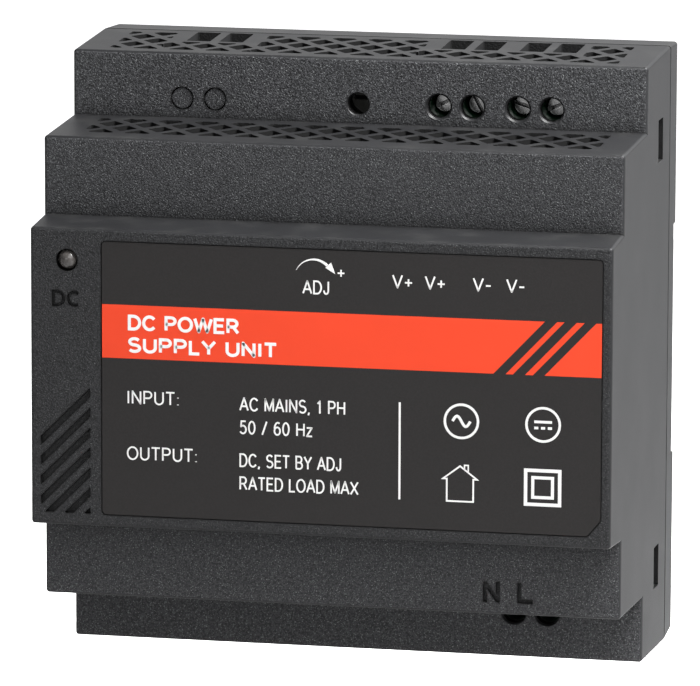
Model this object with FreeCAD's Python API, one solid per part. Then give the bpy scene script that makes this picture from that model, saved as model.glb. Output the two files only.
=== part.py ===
"""DIN rail switching power supply, five modules wide, as separate pieces. Millimetres, +Z up, front towards -Y.

The origin is the middle of the face that rests on the rail. The stepped front cover snaps over a shallow rear
base, whose back has the rail channel, two fixed upper hooks and a sprung lower clip. The board lies across the
case at the joint between the two. Output terminals are at the top and input terminals at the bottom, each a
rising-cage clamp: turning the screw lifts the cage towards it and pinches the wire against a fixed bar.
"""
import FreeCAD
import Part
import math
import os

Vector = FreeCAD.Vector

# ---- case ----
FRONT_Y = -51.4            # label face
SHOULDER_Y = -42.85        # middle step
TERMINAL_Y = -24.65        # terminal step
PARTING_Y = -5.75          # joint between cover and base
SEAT_Y = 0.0               # face that rests on the rail
BACK_Y = 2.2
WALL = 2.0
LABEL_HALF = (22.0, 22.65)        # half height of each step, at its front and at its root
SHOULDER_HALF = (34.2, 34.85)
TERMINAL_HALF = (44.55, 45.25)
WIDTH_HALF = (43.1, 43.5)         # at the label face and at the joint
BACK_HALF_Z = 44.95
BACK_HALF_X = 43.25
EDGE_R = 0.5
PARTING_GAP = 0.45

# ---- terminals ----
POLE_PITCH = 5.0
POLE_Z = 37.75
OUTPUT_BLOCKS = (14.65, 26.5)     # middle of each two-pole block
INPUT_BLOCK = 26.5
SPARE_BLOCK = -24.2               # knock-outs for a block that this version doesn't carry
ACCESS_R = 1.75
ADJUST_R = 1.65
WINDOW = (3.6, 7.6)               # wire window, across and deep
WINDOW_Y = -10.45
SLOT_ANGLES = (25.0, -62.0, -18.0, 22.0, 40.0, -30.0)    # as the screws were left

# ---- vents ----
VENT_PITCH = 5.5                  # across
VENT_ROW = 3.3                    # between rows
VENT_OPEN = 0.70                  # share of a cell that is open
VENT_HALF_X = 38.4
TOP_VENT_Y = (-22.1, -7.8)
SHELF_VENT_Y = (-38.7, -27.4)
VENT_ORIGIN_Y = -15.15            # a row centre

# ---- rail ----
RAIL_HALF = 17.6
SEAT_HALF = 15.2                  # the seat stands proud of the channel's floor between the hooks
LIP_Z = 15.4
LIP_Y = (1.25, 3.6)
HOOK_X = 26.0
HOOK_HALF = 7.0

# ---- clip ----
CLIP_HALF = 11.0
FLANGE_HALF = 12.8
SPRING_Z = (-35.0, -23.0)
SPRING_WIRE = 0.5
SPRING_R = 1.35
SPRING_TURNS = 7
SPRING_Y = 1.1

# ---- board ----
BOARD_Y = (-6.0, -4.4)            # component face and solder face
BOARD_HALF = (39.2, 41.6)
POST = (36.0, 38.0)

# ---- clamp, along Y from the screw head to the board ----
BLOCK_FRONT_Y = -22.3
HEAD_Y = -19.8
LEDGE_Y = -18.4
CHAMBER_Y = -17.6
CAGE_Y = (-13.4, -6.4)
BAR_Y = (-12.0, -11.2)
CAGE_HALF_X = 1.95
CAGE_HALF_Z = 2.0
HEAD_R = 1.65
SHANK_R = 1.2
TRIMMER_Y = -17.4             # front of the adjuster's body

LED = (-37.6, 17.3)


# ---------------------------------------------------------------- helpers
def box(x, y, z):
    """A box from three (low, high) pairs."""
    return Part.makeBox(x[1] - x[0], y[1] - y[0], z[1] - z[0], Vector(x[0], y[0], z[0]))


def rod(radius, y, x, z):
    """A cylinder along Y."""
    return Part.makeCylinder(radius, y[1] - y[0], Vector(x, y[0], z), Vector(0, 1, 0))


def post_along(axis, radius, start, length):
    return Part.makeCylinder(radius, length, Vector(*start), Vector(*axis))


def prism(points, direction):
    """A closed outline of 3-D points, extruded along a vector."""
    corners = [Vector(*p) for p in points]
    return Part.Face(Part.makePolygon(corners + corners[:1])).extrude(Vector(*direction))


def across(points_yz, half_x):
    """An outline in the YZ plane, extruded both ways along X."""
    return prism([(-half_x, y, z) for y, z in points_yz], (2 * half_x, 0, 0))


def rounded_wire(points, radius):
    """A closed wire through coplanar corners, each turned by an arc that shrinks to fit a short side."""
    count = len(points)
    corners = [Vector(*p) for p in points]
    ends = []
    for i, corner in enumerate(corners):
        before = (corners[i - 1] - corner)
        after = (corners[(i + 1) % count] - corner)
        half = before.getAngle(after) / 2
        reach = min(radius / math.tan(half), 0.45 * before.Length, 0.45 * after.Length)
        before.normalize()
        after.normalize()
        middle = before + after
        middle.normalize()
        bulge = reach / math.cos(half) - reach * math.tan(half)
        ends.append((corner + before * reach, corner + middle * bulge, corner + after * reach))
    edges = []
    for i, (start, middle, end) in enumerate(ends):
        edges.append(Part.Arc(start, middle, end).toShape())
        edges.append(Part.makeLine(end, ends[(i + 1) % count][0]))
    return Part.Wire(edges)


def rounded_prism(points, radius, direction):
    return Part.Face(rounded_wire(points, radius)).extrude(Vector(*direction))


def rounded_box(x, y, z, radius, axis="Y"):
    """A box whose four edges along one axis are rounded."""
    if axis == "Y":
        outline = [(x[0], y[0], z[0]), (x[1], y[0], z[0]), (x[1], y[0], z[1]), (x[0], y[0], z[1])]
        return rounded_prism(outline, radius, (0, y[1] - y[0], 0))
    if axis == "Z":
        outline = [(x[0], y[0], z[0]), (x[1], y[0], z[0]), (x[1], y[1], z[0]), (x[0], y[1], z[0])]
        return rounded_prism(outline, radius, (0, 0, z[1] - z[0]))
    outline = [(x[0], y[0], z[0]), (x[0], y[1], z[0]), (x[0], y[1], z[1]), (x[0], y[0], z[1])]
    return rounded_prism(outline, radius, (x[1] - x[0], 0, 0))


def turned(profile, x, z):
    """A solid of revolution about a line along Y. The profile is (radius, y) points from the axis back to it."""
    face = Part.Face(Part.makePolygon([Vector(x + r, y, z) for r, y in profile + profile[:1]]))
    return face.revolve(Vector(x, 0, z), Vector(0, 1, 0), 360)


def ring(outer, inner, y, x, z):
    return rod(outer, y, x, z).cut(rod(inner, (y[0] - 1, y[1] + 1), x, z))


def fuse(shapes):
    return shapes[0].multiFuse(shapes[1:]).removeSplitter() if len(shapes) > 1 else shapes[0]


def group(shapes):
    return Part.makeCompound(shapes)


def mirror_z(shape):
    return shape.mirror(Vector(0, 0, 0), Vector(0, 0, 1))


def save(name, shape):
    solids = shape.Solids
    print(f"{name:26s} solids {len(solids):3d}  valid {shape.isValid()}  volume {shape.Volume:10.2f}")
    (solids[0] if len(solids) == 1 else Part.makeCompound(solids)).exportStep(f"parts/{name}.step")


# ---------------------------------------------------------------- case outline
def side_half(y):
    share = (y - FRONT_Y) / (PARTING_Y - FRONT_Y)
    return WIDTH_HALF[0] + share * (WIDTH_HALF[1] - WIDTH_HALF[0])


def cover_block(inset, back):
    """The stepped cover as a solid, each face moved in by inset, open ended at back."""
    upper = [
        (FRONT_Y + inset, LABEL_HALF[0] - inset),
        (SHOULDER_Y + inset, LABEL_HALF[1] - inset),
        (SHOULDER_Y + inset, SHOULDER_HALF[0] - inset),
        (TERMINAL_Y + inset, SHOULDER_HALF[1] - inset),
        (TERMINAL_Y + inset, TERMINAL_HALF[0] - inset),
        (back, TERMINAL_HALF[1] - inset),
    ]
    profile = upper + [(y, -z) for y, z in reversed(upper)]
    front, rear = side_half(FRONT_Y) - inset, side_half(PARTING_Y) - inset
    tall = TERMINAL_HALF[1] + 5
    plan = [(-front, FRONT_Y - 1, -tall), (front, FRONT_Y - 1, -tall), (rear, back, -tall), (-rear, back, -tall)]
    return across(profile, 60).common(prism(plan, (0, 0, 2 * tall)))


def rounded_cover():
    """The outside of the cover with its outer edges rounded. The two inside corners of each side stay sharp."""
    block = cover_block(0, PARTING_Y)
    inside_corners = ((SHOULDER_Y, LABEL_HALF[1]), (TERMINAL_Y, SHOULDER_HALF[1]))
    chosen = []
    for edge in block.Edges:
        spots = [v.Point for v in edge.Vertexes]
        at_back = all(abs(p.y - PARTING_Y) < 0.01 for p in spots)
        along_x = abs(spots[0].x - spots[1].x) > 10
        inside = along_x and any(
            abs(spots[0].y - y) < 0.01 and abs(abs(spots[0].z) - z) < 0.01 for y, z in inside_corners
        )
        if not at_back and not inside:
            chosen.append(edge)
    return block.makeFillet(EDGE_R, chosen)


# ---------------------------------------------------------------- vents
def clip_polygon(points, low, high):
    """Cuts a convex 2-D polygon to a rectangle."""
    sides = ((0, low[0], 1), (0, high[0], -1), (1, low[1], 1), (1, high[1], -1))
    for axis, limit, sign in sides:
        kept = []
        for i, p in enumerate(points):
            q = points[(i + 1) % len(points)]
            p_in, q_in = sign * (p[axis] - limit) >= 0, sign * (q[axis] - limit) >= 0
            if p_in:
                kept.append(p)
            if p_in != q_in:
                t = (limit - p[axis]) / (q[axis] - p[axis])
                kept.append((p[0] + t * (q[0] - p[0]), p[1] + t * (q[1] - p[1])))
        points = kept
        if not points:
            return []
    return points


def area(points):
    total = 0
    for i, p in enumerate(points):
        q = points[(i + 1) % len(points)]
        total += p[0] * q[1] - q[0] * p[1]
    return abs(total) / 2


def tidy_corners(points):
    """Drops corners that lie on top of the one before."""
    return [p for i, p in enumerate(points) if math.dist(p, points[i - 1]) > 0.12]


def vent_cells(y_range, blocks):
    """Diamond openings as 2-D outlines. Each block is (low x, high x, low y): a solid patch round wire windows."""
    strips = []
    edges = [-VENT_HALF_X] + [e for b in blocks for e in b[:2]] + [VENT_HALF_X]
    for low, high in zip(edges[::2], edges[1::2]):
        strips.append(((low, y_range[0]), (high, y_range[1])))
    for low, high, start in blocks:
        strips.append(((low, y_range[0]), (high, start)))
    half_x, half_y = VENT_OPEN * VENT_PITCH / 2, VENT_OPEN * VENT_ROW
    cells = []
    for row in range(-9, 3):
        y = VENT_ORIGIN_Y + row * VENT_ROW
        shift = VENT_PITCH / 2 if row % 2 else 0.0
        for column in range(-8, 9):
            x = column * VENT_PITCH + shift
            diamond = [(x - half_x, y), (x, y - half_y), (x + half_x, y), (x, y + half_y)]
            for low, high in strips:
                piece = tidy_corners(clip_polygon(diamond, low, high))
                if len(piece) > 2 and area(piece) > 1.0:
                    cells.append(piece)
    return cells


def vents(y_range, blocks, z_low, z_high):
    cutters = []
    for cell in vent_cells(y_range, blocks):
        cutters.append(rounded_prism([(x, y, z_low) for x, y in cell], 0.3, (0, 0, z_high - z_low)))
    return cutters


def poles(block_x):
    return (block_x - POLE_PITCH / 2, block_x + POLE_PITCH / 2)


def wire_window(x, z_low, z_high):
    half_x, half_y = WINDOW[0] / 2, WINDOW[1] / 2
    return rounded_box((x - half_x, x + half_x), (WINDOW_Y - half_y, WINDOW_Y + half_y), (z_low, z_high), 0.25, "Z")


# ---------------------------------------------------------------- engraved marks
def stroke(start, end, width, y, depth):
    """A straight engraved stroke between two (x, z) points."""
    along = Vector(end[0] - start[0], 0, end[1] - start[1])
    side = Vector(-along.z, 0, along.x)
    side.normalize()
    side = side * (width / 2)
    a, b = Vector(start[0], y, start[1]), Vector(end[0], y, end[1])
    outline = [a + side, b + side, b - side, a - side]
    return prism([tuple(p) for p in outline], (0, depth, 0))


def letter_bow(x, z, outer, inner, y, depth, keep):
    """Part of an engraved ring: keep is the (low, high) x range that stays."""
    bow = rod(outer, (y, y + depth), x, z).cut(rod(inner, (y - 1, y + depth + 1), x, z))
    return bow.common(box(keep, (y - 1, y + depth + 1), (z - outer - 1, z + outer + 1)))


def engraved_marks(depth=0.5):
    marks = []
    y, width = FRONT_Y - 0.05, 0.5
    low, high, x = 10.4, 12.85, -39.86
    radius = (high - low) / 2
    middle = (low + high) / 2
    marks.append(stroke((x + width / 2, low), (x + width / 2, high), width, y, depth))
    marks.append(box((x, x + 0.8), (y, y + depth), (high - width, high)))
    marks.append(box((x, x + 0.8), (y, y + depth), (low, low + width)))
    marks.append(letter_bow(x + 0.8, middle, radius, radius - width, y, depth, (x + 0.75, x + 3)))
    marks.append(letter_bow(-36.4, middle, radius, radius - width, y, depth, (-38.5, -35.9)))
    y, width, low, high = SHOULDER_Y - 0.05, 0.6, -32.45, -29.4
    left, right, slant = 22.8, 25.3, width / 2
    marks.append(box((left, left + width), (y, y + depth), (low, high)))
    marks.append(box((right - width, right), (y, y + depth), (low, high)))
    marks.append(stroke((left + slant, high - 0.2), (right - slant, low + 0.2), width, y, depth))
    left, right = 27.9, 30.2
    marks.append(box((left, left + width), (y, y + depth), (low, high)))
    marks.append(box((left, right), (y, y + depth), (low, low + width)))
    return marks


def front_grooves(depth=0.8):
    """Slanted grooves beside the label, cut to a rectangle."""
    left, right, bottom, top, pitch, tall = -41.67, -34.13, -20.25, -1.4, 2.96, 1.45
    grooves = []
    run = right - left
    for i in range(8):
        z = top - i * pitch
        slanted = [(right, z), (right, z - tall), (left, z - tall - run), (left, z - run)]
        piece = tidy_corners(clip_polygon(slanted, (left, bottom), (right, top)))
        if len(piece) > 2 and area(piece) > 0.3:
            points = [(x, FRONT_Y - 0.05, z) for x, z in piece]
            grooves.append(rounded_prism(points, 0.12, (0, depth + 0.05, 0)))
    return grooves


# ---------------------------------------------------------------- label
LABEL_X = (-32.35, 41.6)
LABEL_Z = (-20.2, 20.2)
LABEL_CHAMFER = (2.0, 2.4)
LABEL_THICK = 0.25
POCKET_DEPTH = 0.3


def label_outline(grow, y):
    x0, x1 = LABEL_X[0] - grow, LABEL_X[1] + grow
    z0, z1 = LABEL_Z[0] - grow, LABEL_Z[1] + grow
    return [
        (x0, y, z0), (x1 - LABEL_CHAMFER[0], y, z0), (x1, y, z0 + LABEL_CHAMFER[1]), (x1, y, z1), (x0, y, z1),
    ]


def front_label():
    y = FRONT_Y + POCKET_DEPTH - LABEL_THICK
    return rounded_prism(label_outline(0, y), 0.6, (0, LABEL_THICK, 0))


# ---------------------------------------------------------------- cover
def countersink(x, z, radius, y, rim=0.25):
    """A screwdriver hole through a front wall, with a small rounded-off rim."""
    hole = rod(radius, (y - 0.5, y + WALL + 0.5), x, z)
    mouth = Part.makeCone(radius + rim + 0.1, radius, rim + 0.1, Vector(x, y - 0.1, z), Vector(0, 1, 0))
    return fuse([hole, mouth])


def knock_out(x, z, y):
    """A blanked hole: a shallow dish with a thin slot round it, bridged in four places."""
    slot = rod(ACCESS_R, (y - 0.2, y + 1.4), x, z).cut(rod(ACCESS_R - 0.22, (y - 1, y + 2), x, z))
    for angle in (0, 90, 180, 270):
        bridge = box((ACCESS_R - 0.6, ACCESS_R + 0.4), (y + 0.25, y + 2), (-0.45, 0.45))
        bridge.rotate(Vector(0, 0, 0), Vector(0, 1, 0), angle)
        bridge.translate(Vector(x, 0, z))
        slot = slot.cut(bridge)
    dish = rod(ACCESS_R - 0.1, (y - 0.2, y + 0.15), x, z)
    return fuse([slot, dish])


LATCH_Y = (-15.3, -11.5)
LATCH_Z = (29.1, 35.4)


def front_cover():
    shell = rounded_cover().cut(cover_block(WALL, PARTING_Y + 0.001))
    cutters = [rounded_prism(label_outline(0.15, FRONT_Y - 0.05), 0.7, (0, POCKET_DEPTH + 0.05, 0))]
    cutters += front_grooves() + engraved_marks()
    cutters.append(rod(1.65, (FRONT_Y - 1, FRONT_Y + WALL + 1), *LED))
    access = [x for block in OUTPUT_BLOCKS for x in poles(block)]
    cutters += [countersink(x, POLE_Z, ACCESS_R, TERMINAL_Y) for x in access]
    cutters += [countersink(x, -POLE_Z, ACCESS_R, TERMINAL_Y) for x in poles(INPUT_BLOCK)]
    cutters.append(countersink(0, POLE_Z, ADJUST_R, TERMINAL_Y, 0.12))
    cutters += [knock_out(x, POLE_Z, TERMINAL_Y) for x in poles(SPARE_BLOCK)]
    inside, outside = TERMINAL_HALF[0] - WALL - 1, TERMINAL_HALF[1] + 1
    for x in access + list(poles(SPARE_BLOCK)):
        cutters.append(wire_window(x, inside, outside))
    for x in poles(INPUT_BLOCK):
        cutters.append(wire_window(x, -outside, -inside))
    patch_y = WINDOW_Y - WINDOW[1] / 2 - 1.1
    top_patches = [(-31.2, -17.2, patch_y), (7.6, 32.2, patch_y)]
    cutters += vents(TOP_VENT_Y, top_patches, inside, outside)
    cutters += vents(TOP_VENT_Y, [(19.4, 32.2, patch_y)], -outside, -inside)
    shelf = (SHOULDER_HALF[0] - WALL - 1, SHOULDER_HALF[1] + 1)
    cutters += vents(SHELF_VENT_Y, [], *shelf)
    cutters += vents(SHELF_VENT_Y, [], -shelf[1], -shelf[0])
    wide = WIDTH_HALF[1]
    for z in (LATCH_Z, (-LATCH_Z[1], -LATCH_Z[0])):
        cutters.append(box((-wide - 1, wide + 1), LATCH_Y, z))
    return shell.cut(group(cutters))


# ---------------------------------------------------------------- base
def snap_tongue(side, z_middle):
    """A springy tongue inside the cover's side wall, with a nib that catches in the wall's slot."""
    inner, outer = 39.9, 41.2
    half = 2.6
    blade = box((inner, outer), (-15.1, 1.0), (z_middle - half, z_middle + half))
    nib_back, nib_front = LATCH_Y[1] - 0.15, LATCH_Y[0] + 1.2
    nib = prism(
        [(outer, nib_back, z_middle - half), (outer + 0.9, nib_back, z_middle - half),
         (outer + 0.9, nib_back - 0.8, z_middle - half), (outer, nib_front, z_middle - half)],
        (0, 0, 2 * half),
    )
    tongue = fuse([blade, nib])
    return tongue if side > 0 else tongue.mirror(Vector(0, 0, 0), Vector(1, 0, 0))


def upper_hook(x):
    """A fixed hook that reaches down behind the rail's upper edge."""
    outline = [
        (BACK_Y - 0.6, RAIL_HALF), (LIP_Y[0], RAIL_HALF), (LIP_Y[0], LIP_Z), (LIP_Y[1] - 1.0, LIP_Z),
        (LIP_Y[1], LIP_Z + 1.4), (LIP_Y[1], 21.4), (BACK_Y, 23.4), (BACK_Y - 0.6, 23.4),
    ]
    hook = prism([(x - HOOK_HALF, y, z) for y, z in outline], (2 * HOOK_HALF, 0, 0))
    return hook


def base_floor_cavity():
    """The inside of the base: deep behind the two rear pads, shallow behind the rail channel."""
    inner_x, inner_z = BACK_HALF_X - WALL, BACK_HALF_Z - WALL
    front = PARTING_Y - 1
    shallow = box((-inner_x, inner_x), (front, -1.8), (-inner_z, inner_z))
    upper = box((-inner_x, inner_x), (front, 0.4), (RAIL_HALF + WALL, inner_z))
    return fuse([shallow, upper, mirror_z(upper)])


def rear_base():
    front = PARTING_Y + PARTING_GAP
    outline = [(front, TERMINAL_HALF[1]), (BACK_Y, BACK_HALF_Z)]
    outline += [(y, -z) for y, z in reversed(outline)]
    tall = TERMINAL_HALF[1] + 5
    x_front, x_back = WIDTH_HALF[1], BACK_HALF_X
    plan = [(-x_front, front, -tall), (x_front, front, -tall), (x_back, BACK_Y, -tall), (-x_back, BACK_Y, -tall)]
    block = across(outline, 60).common(prism(plan, (0, 0, 2 * tall)))
    rear = []
    for edge in block.Edges:
        spots = [v.Point for v in edge.Vertexes]
        if any(p.y > front + 0.01 for p in spots):
            rear.append(edge)
    block = block.makeFillet(EDGE_R, rear)
    body = block.cut(base_floor_cavity())
    body = body.cut(box((-60, 60), (SEAT_Y, 10), (-RAIL_HALF, RAIL_HALF)))
    relief = box((-60, 60), (SEAT_Y - 0.2, 1), (SEAT_HALF, RAIL_HALF))
    body = body.cut(group([relief, mirror_z(relief)]))

    pocket_wall = box((-15.0, 15.0), (-2.4, 1.0), (-BACK_HALF_Z + 1, -RAIL_HALF))
    posts = [rod(2.5, (BOARD_Y[1], 1.0), sx * POST[0], sz * POST[1]) for sx in (-1, 1) for sz in (-1, 1)]
    tongues = [snap_tongue(side, z) for side in (-1, 1) for z in (-32.25, 32.25)]
    lip_x, lip_z, lip_thick = 41.3, 42.95, 1.0
    lips = []
    for low, high in ((-38.0, -31.5), (-16.5, -6.5), (33.5, 38.0)):
        lips.append(box((low, high), (-8.2, 1.0), (lip_z - lip_thick, lip_z)))
        lips.append(box((low, high), (-8.2, 1.0), (-lip_z, -lip_z + lip_thick)))
    for side in (-1, 1):
        inner, outer = sorted((side * (lip_x - lip_thick), side * lip_x))
        lips.append(box((inner, outer), (-8.2, -1.0), (-26.0, 26.0)))
    hooks = [upper_hook(x) for x in (-HOOK_X, HOOK_X)]
    body = fuse([body, pocket_wall] + posts + tongues + lips + hooks)

    body = body.cut(box((-13.0, 13.0), (-0.6, 0.95), (-43.9, -RAIL_HALF + 1)))
    body = body.cut(box((-11.2, 11.2), (-0.6, 5.0), (-50.0, -RAIL_HALF + 1)))
    pilot = [rod(0.9, (BOARD_Y[1] - 1, -0.2), sx * POST[0], sz * POST[1]) for sx in (-1, 1) for sz in (-1, 1)]
    body = body.cut(group(pilot))
    stop = box((-2.0, 2.0), (-1.0, 1.7), (SPRING_Z[0] - 1.9, SPRING_Z[0]))
    return fuse([body, stop])


# ---------------------------------------------------------------- rail clip
def rail_clip():
    flange = box((-FLANGE_HALF, FLANGE_HALF), (-0.5, 0.8), (-40.8, -18.2))
    outline = [
        (0.8, -17.8), (LIP_Y[0], -17.8), (LIP_Y[0], -LIP_Z), (LIP_Y[1] - 1.4, -LIP_Z), (LIP_Y[1], -LIP_Z - 1.9),
        (LIP_Y[1], -20.8), (2.9, -22.0), (2.9, -44.2), (0.8, -44.2),
    ]
    body = across(outline, CLIP_HALF)
    tab = rounded_box((-6.0, 6.0), (0.9, 2.9), (-48.4, -43.0), 1.2, "Y")
    clip = fuse([flange, body, tab])
    clip = clip.cut(box((-2.4, 2.4), (-5, 5), (SPRING_Z[0] - 2.0, SPRING_Z[1])))
    clip = clip.cut(rounded_box((-3.2, 3.2), (-5, 5), (-47.2, -45.7), 0.4, "Y"))
    for z in (-28.0, -31.0, -34.0):
        for side in (-1, 1):
            low, high = sorted((side * 4.6, side * 9.4))
            clip = clip.cut(box((low, high), (2.4, 5), (z - 0.6, z + 0.6)))
    return clip


def clip_spring():
    """A compression spring with closed ends, between the base's stop and the clip."""
    low, high = SPRING_Z
    length = high - low - SPRING_WIRE - 0.1
    helix = Part.makeHelix(length / SPRING_TURNS, length, SPRING_R)
    start = Vector(SPRING_R, 0, 0)
    rise = length / SPRING_TURNS
    tangent = Vector(0, 2 * math.pi * SPRING_R, rise)
    circle = Part.Wire(Part.makeCircle(SPRING_WIRE / 2, start, tangent))
    coil = Part.Wire(helix.Edges).makePipeShell([circle], True, True)
    coil.translate(Vector(0, SPRING_Y, low + SPRING_WIRE / 2 + 0.05))
    return coil


# ---------------------------------------------------------------- terminals
def terminal_block(block_x):
    """The green body of a two-pole clamp block at the top. The lower one is its mirror."""
    z_low, z_high = 32.6, 42.4
    body = rounded_box((block_x - 4.95, block_x + 4.95), (BLOCK_FRONT_Y, BOARD_Y[0]), (z_low, z_high), 0.4)
    for x in poles(block_x):
        cut = [
            rod(1.85, (BLOCK_FRONT_Y - 1, LEDGE_Y), x, POLE_Z),
            rod(1.35, (LEDGE_Y - 1, CHAMBER_Y + 1), x, POLE_Z),
            box((x - 2.05, x + 2.05), (CHAMBER_Y, BOARD_Y[0] + 1), (POLE_Z - 2.15, POLE_Z + 2.15)),
            rounded_box((x - 1.6, x + 1.6), (BAR_Y[1], -7.2), (POLE_Z, z_high + 1), 0.3, "Z"),
            box((x - 1.3, x + 1.3), (BAR_Y[0] - 0.15, BOARD_Y[0] + 1), (33.3, POLE_Z)),
        ]
        body = body.cut(group(cut))
    funnel = [box((x - 1.9, x + 1.9), (-13.6, -6.8), (41.9, 44)) for x in poles(block_x)]
    body = body.cut(group(funnel))
    groove = box((block_x - 0.35, block_x + 0.35), (BLOCK_FRONT_Y - 1, BLOCK_FRONT_Y + 0.5), (z_low - 1, z_high + 1))
    return body.cut(groove)


def contact_bar(x):
    """The fixed bar that the wire is pinched against, with its solder pin."""
    bar = box((x - 1.2, x + 1.2), BAR_Y, (33.6, POLE_Z + 1.9))
    leg = box((x - 0.5, x + 0.5), (BAR_Y[0], BOARD_Y[1] + 1.1), (33.6, 34.5))
    return fuse([bar, leg])


def clamp_cage(x):
    z = (POLE_Z - CAGE_HALF_Z, POLE_Z + CAGE_HALF_Z)
    cage = rounded_box((x - CAGE_HALF_X, x + CAGE_HALF_X), CAGE_Y, z, 0.45, "Z")
    opening = rounded_box((x - 1.35, x + 1.35), (-12.2, -7.1), (z[0] - 1, z[1] + 1), 0.3, "Z")
    thread = rod(SHANK_R + 0.03, (CAGE_Y[0] - 1, -12.0), x, POLE_Z)
    return cage.cut(opening).cut(thread)


def clamp_screw(x, z, slot_angle):
    """A slotted captive screw. Its tip stands just off the fixed bar."""
    tip = BAR_Y[0] - 0.05
    profile = [
        (0, HEAD_Y), (HEAD_R - 0.3, HEAD_Y), (HEAD_R, HEAD_Y + 0.3), (HEAD_R, LEDGE_Y - 0.02),
        (SHANK_R, LEDGE_Y - 0.02), (SHANK_R, tip - 0.4), (SHANK_R - 0.35, tip), (0, tip),
    ]
    screw = turned(profile, x, z)
    slot = box((-3, 3), (HEAD_Y - 1, HEAD_Y + 0.75), (-0.3, 0.3))
    slot.rotate(Vector(0, 0, 0), Vector(0, 1, 0), -slot_angle)
    slot.translate(Vector(x, 0, z))
    return screw.cut(slot)


# ---------------------------------------------------------------- adjuster and lamp
def trimmer_body():
    half = 4.75
    body = rounded_box((-half, half), (TRIMMER_Y, BOARD_Y[0]), (POLE_Z - half, POLE_Z + half - 0.3), 0.5)
    return body.cut(rod(3.05, (TRIMMER_Y - 1, TRIMMER_Y + 2.4), 0, POLE_Z))


def trimmer_rotor():
    y = TRIMMER_Y
    profile = [(0, y - 0.4), (2.3, y - 0.4), (2.6, y - 0.1), (3.0, y + 0.4), (3.0, y + 2.35), (0, y + 2.35)]
    rotor = turned(profile, 0, POLE_Z)
    slot = box((-2.0, 2.0), (y - 1.2, y + 0.6), (POLE_Z - 0.35, POLE_Z + 0.35))
    pointer = box((-0.35, 0.35), (y - 1.2, y + 0.1), (POLE_Z, POLE_Z + 1.9))
    return rotor.cut(slot).cut(pointer)


def status_lamp():
    """A 3 mm lamp: flange, body and dome."""
    x, z = LED
    tip, radius = FRONT_Y - 0.35, 1.5
    body = rod(radius, (tip + radius, -47.4), x, z)
    dome = Part.makeSphere(radius, Vector(x, tip + radius, z))
    flange = rod(1.9, (-47.4, -46.4), x, z)
    return fuse([body, dome, flange])


def lamp_spacer():
    x, z = LED
    tube = rod(2.3, (-46.4, BOARD_Y[0]), x, z)
    bores = [rod(0.45, (-47, -5), x + dx, z) for dx in (-1.27, 1.27)]
    return tube.cut(group(bores))


def lamp_leads():
    x, z = LED
    return group([rod(0.25, (-46.4, BOARD_Y[0]), x + dx, z) for dx in (-1.27, 1.27)])


# ---------------------------------------------------------------- board and what stands on it
def pin_spots():
    """Middle of each clamp's solder pin on the board."""
    middle = 34.05
    spots = [(x, middle) for block in OUTPUT_BLOCKS for x in poles(block)]
    return spots + [(x, -middle) for x in poles(INPUT_BLOCK)]


def main_board():
    x, z = BOARD_HALF
    board = rounded_box((-x, x), BOARD_Y, (-z, z), 1.0)
    holes = [rod(0.75, (-10, 0), *spot) for spot in pin_spots()]
    holes += [rod(1.3, (-10, 0), sx * POST[0], sz * POST[1]) for sx in (-1, 1) for sz in (-1, 1)]
    slot = rounded_box((17.6, 19.2), (-10, 0), (-13.0, 12.0), 0.6)
    return board.cut(group(holes + [slot]))


def board_screw(x, z):
    """A self-tapping screw with a rounded head and a cross recess."""
    seat = BOARD_Y[0]
    screw = turned(
        [(0, seat - 1.7), (1.2, seat - 1.6), (1.9, seat - 1.1), (2.2, seat - 0.4), (2.2, seat),
         (0.85, seat), (0.85, -1.4), (0, -0.7)], x, z)
    cross = [
        box((x - 1.1, x + 1.1), (seat - 3, seat - 0.8), (z - 0.25, z + 0.25)),
        box((x - 0.25, x + 0.25), (seat - 3, seat - 0.8), (z - 1.1, z + 1.1)),
    ]
    return screw.cut(group(cross))


def insulating_sheet():
    sheet = rounded_box((-38.5, 38.5), (-3.0, -2.75), (-40.8, 40.8), 1.0)
    notch = (POST[0] - 3.2, POST[1] - 3.2)
    corners = [box(sorted((sx * notch[0], sx * 50)), (-5, 0), sorted((sz * notch[1], sz * 50)))
               for sx in (-1, 1) for sz in (-1, 1)]
    return sheet.cut(group(corners))


TRANSFORMER = (2.0, -18.4, -1.0)


def transformer_core():
    """Two ferrite E halves that meet in the middle of the winding."""
    x, y, z = TRANSFORMER
    halves = []
    for end in (-1, 1):
        parts = []
        for low, high in ((-14.0, -10.2), (-3.7, 3.7), (10.2, 14.0)):
            zs = sorted((z, z + end * 10.2))
            parts.append(box((x + low, x + high), (y - 5.0, y + 5.0), zs))
        parts.append(box((x - 14.0, x + 14.0), (y - 5.0, y + 5.0), sorted((z + end * 10.2, z + end * 13.2))))
        halves.append(fuse(parts))
    return group(halves)


def transformer_bobbin():
    x, y, z = TRANSFORMER
    tube = box((x - 4.7, x + 4.7), (y - 6.0, y + 6.0), (z - 10.0, z + 10.0))
    parts = [tube]
    for end in (-1, 1):
        parts.append(box((x - 10.0, x + 10.0), (y - 10.2, y + 9.9), sorted((z + end * 8.8, z + end * 10.0))))
        parts.append(box((x - 12.5, x + 12.5), (y + 5.2, y + 9.9), sorted((z + end * 8.8, z + end * 14.2))))
    bobbin = fuse(parts)
    bore = box((x - 3.85, x + 3.85), (y - 5.15, y + 5.15), (z - 20, z + 20))
    return bobbin.cut(bore)


def transformer_winding():
    x, y, z = TRANSFORMER
    outer = rounded_box((x - 9.6, x + 9.6), (y - 9.8, y + 9.8), (z - 8.7, z + 8.7), 3.2, "Z")
    inner = box((x - 4.8, x + 4.8), (y - 6.1, y + 6.1), (z - 20, z + 20))
    return outer.cut(inner)


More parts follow.
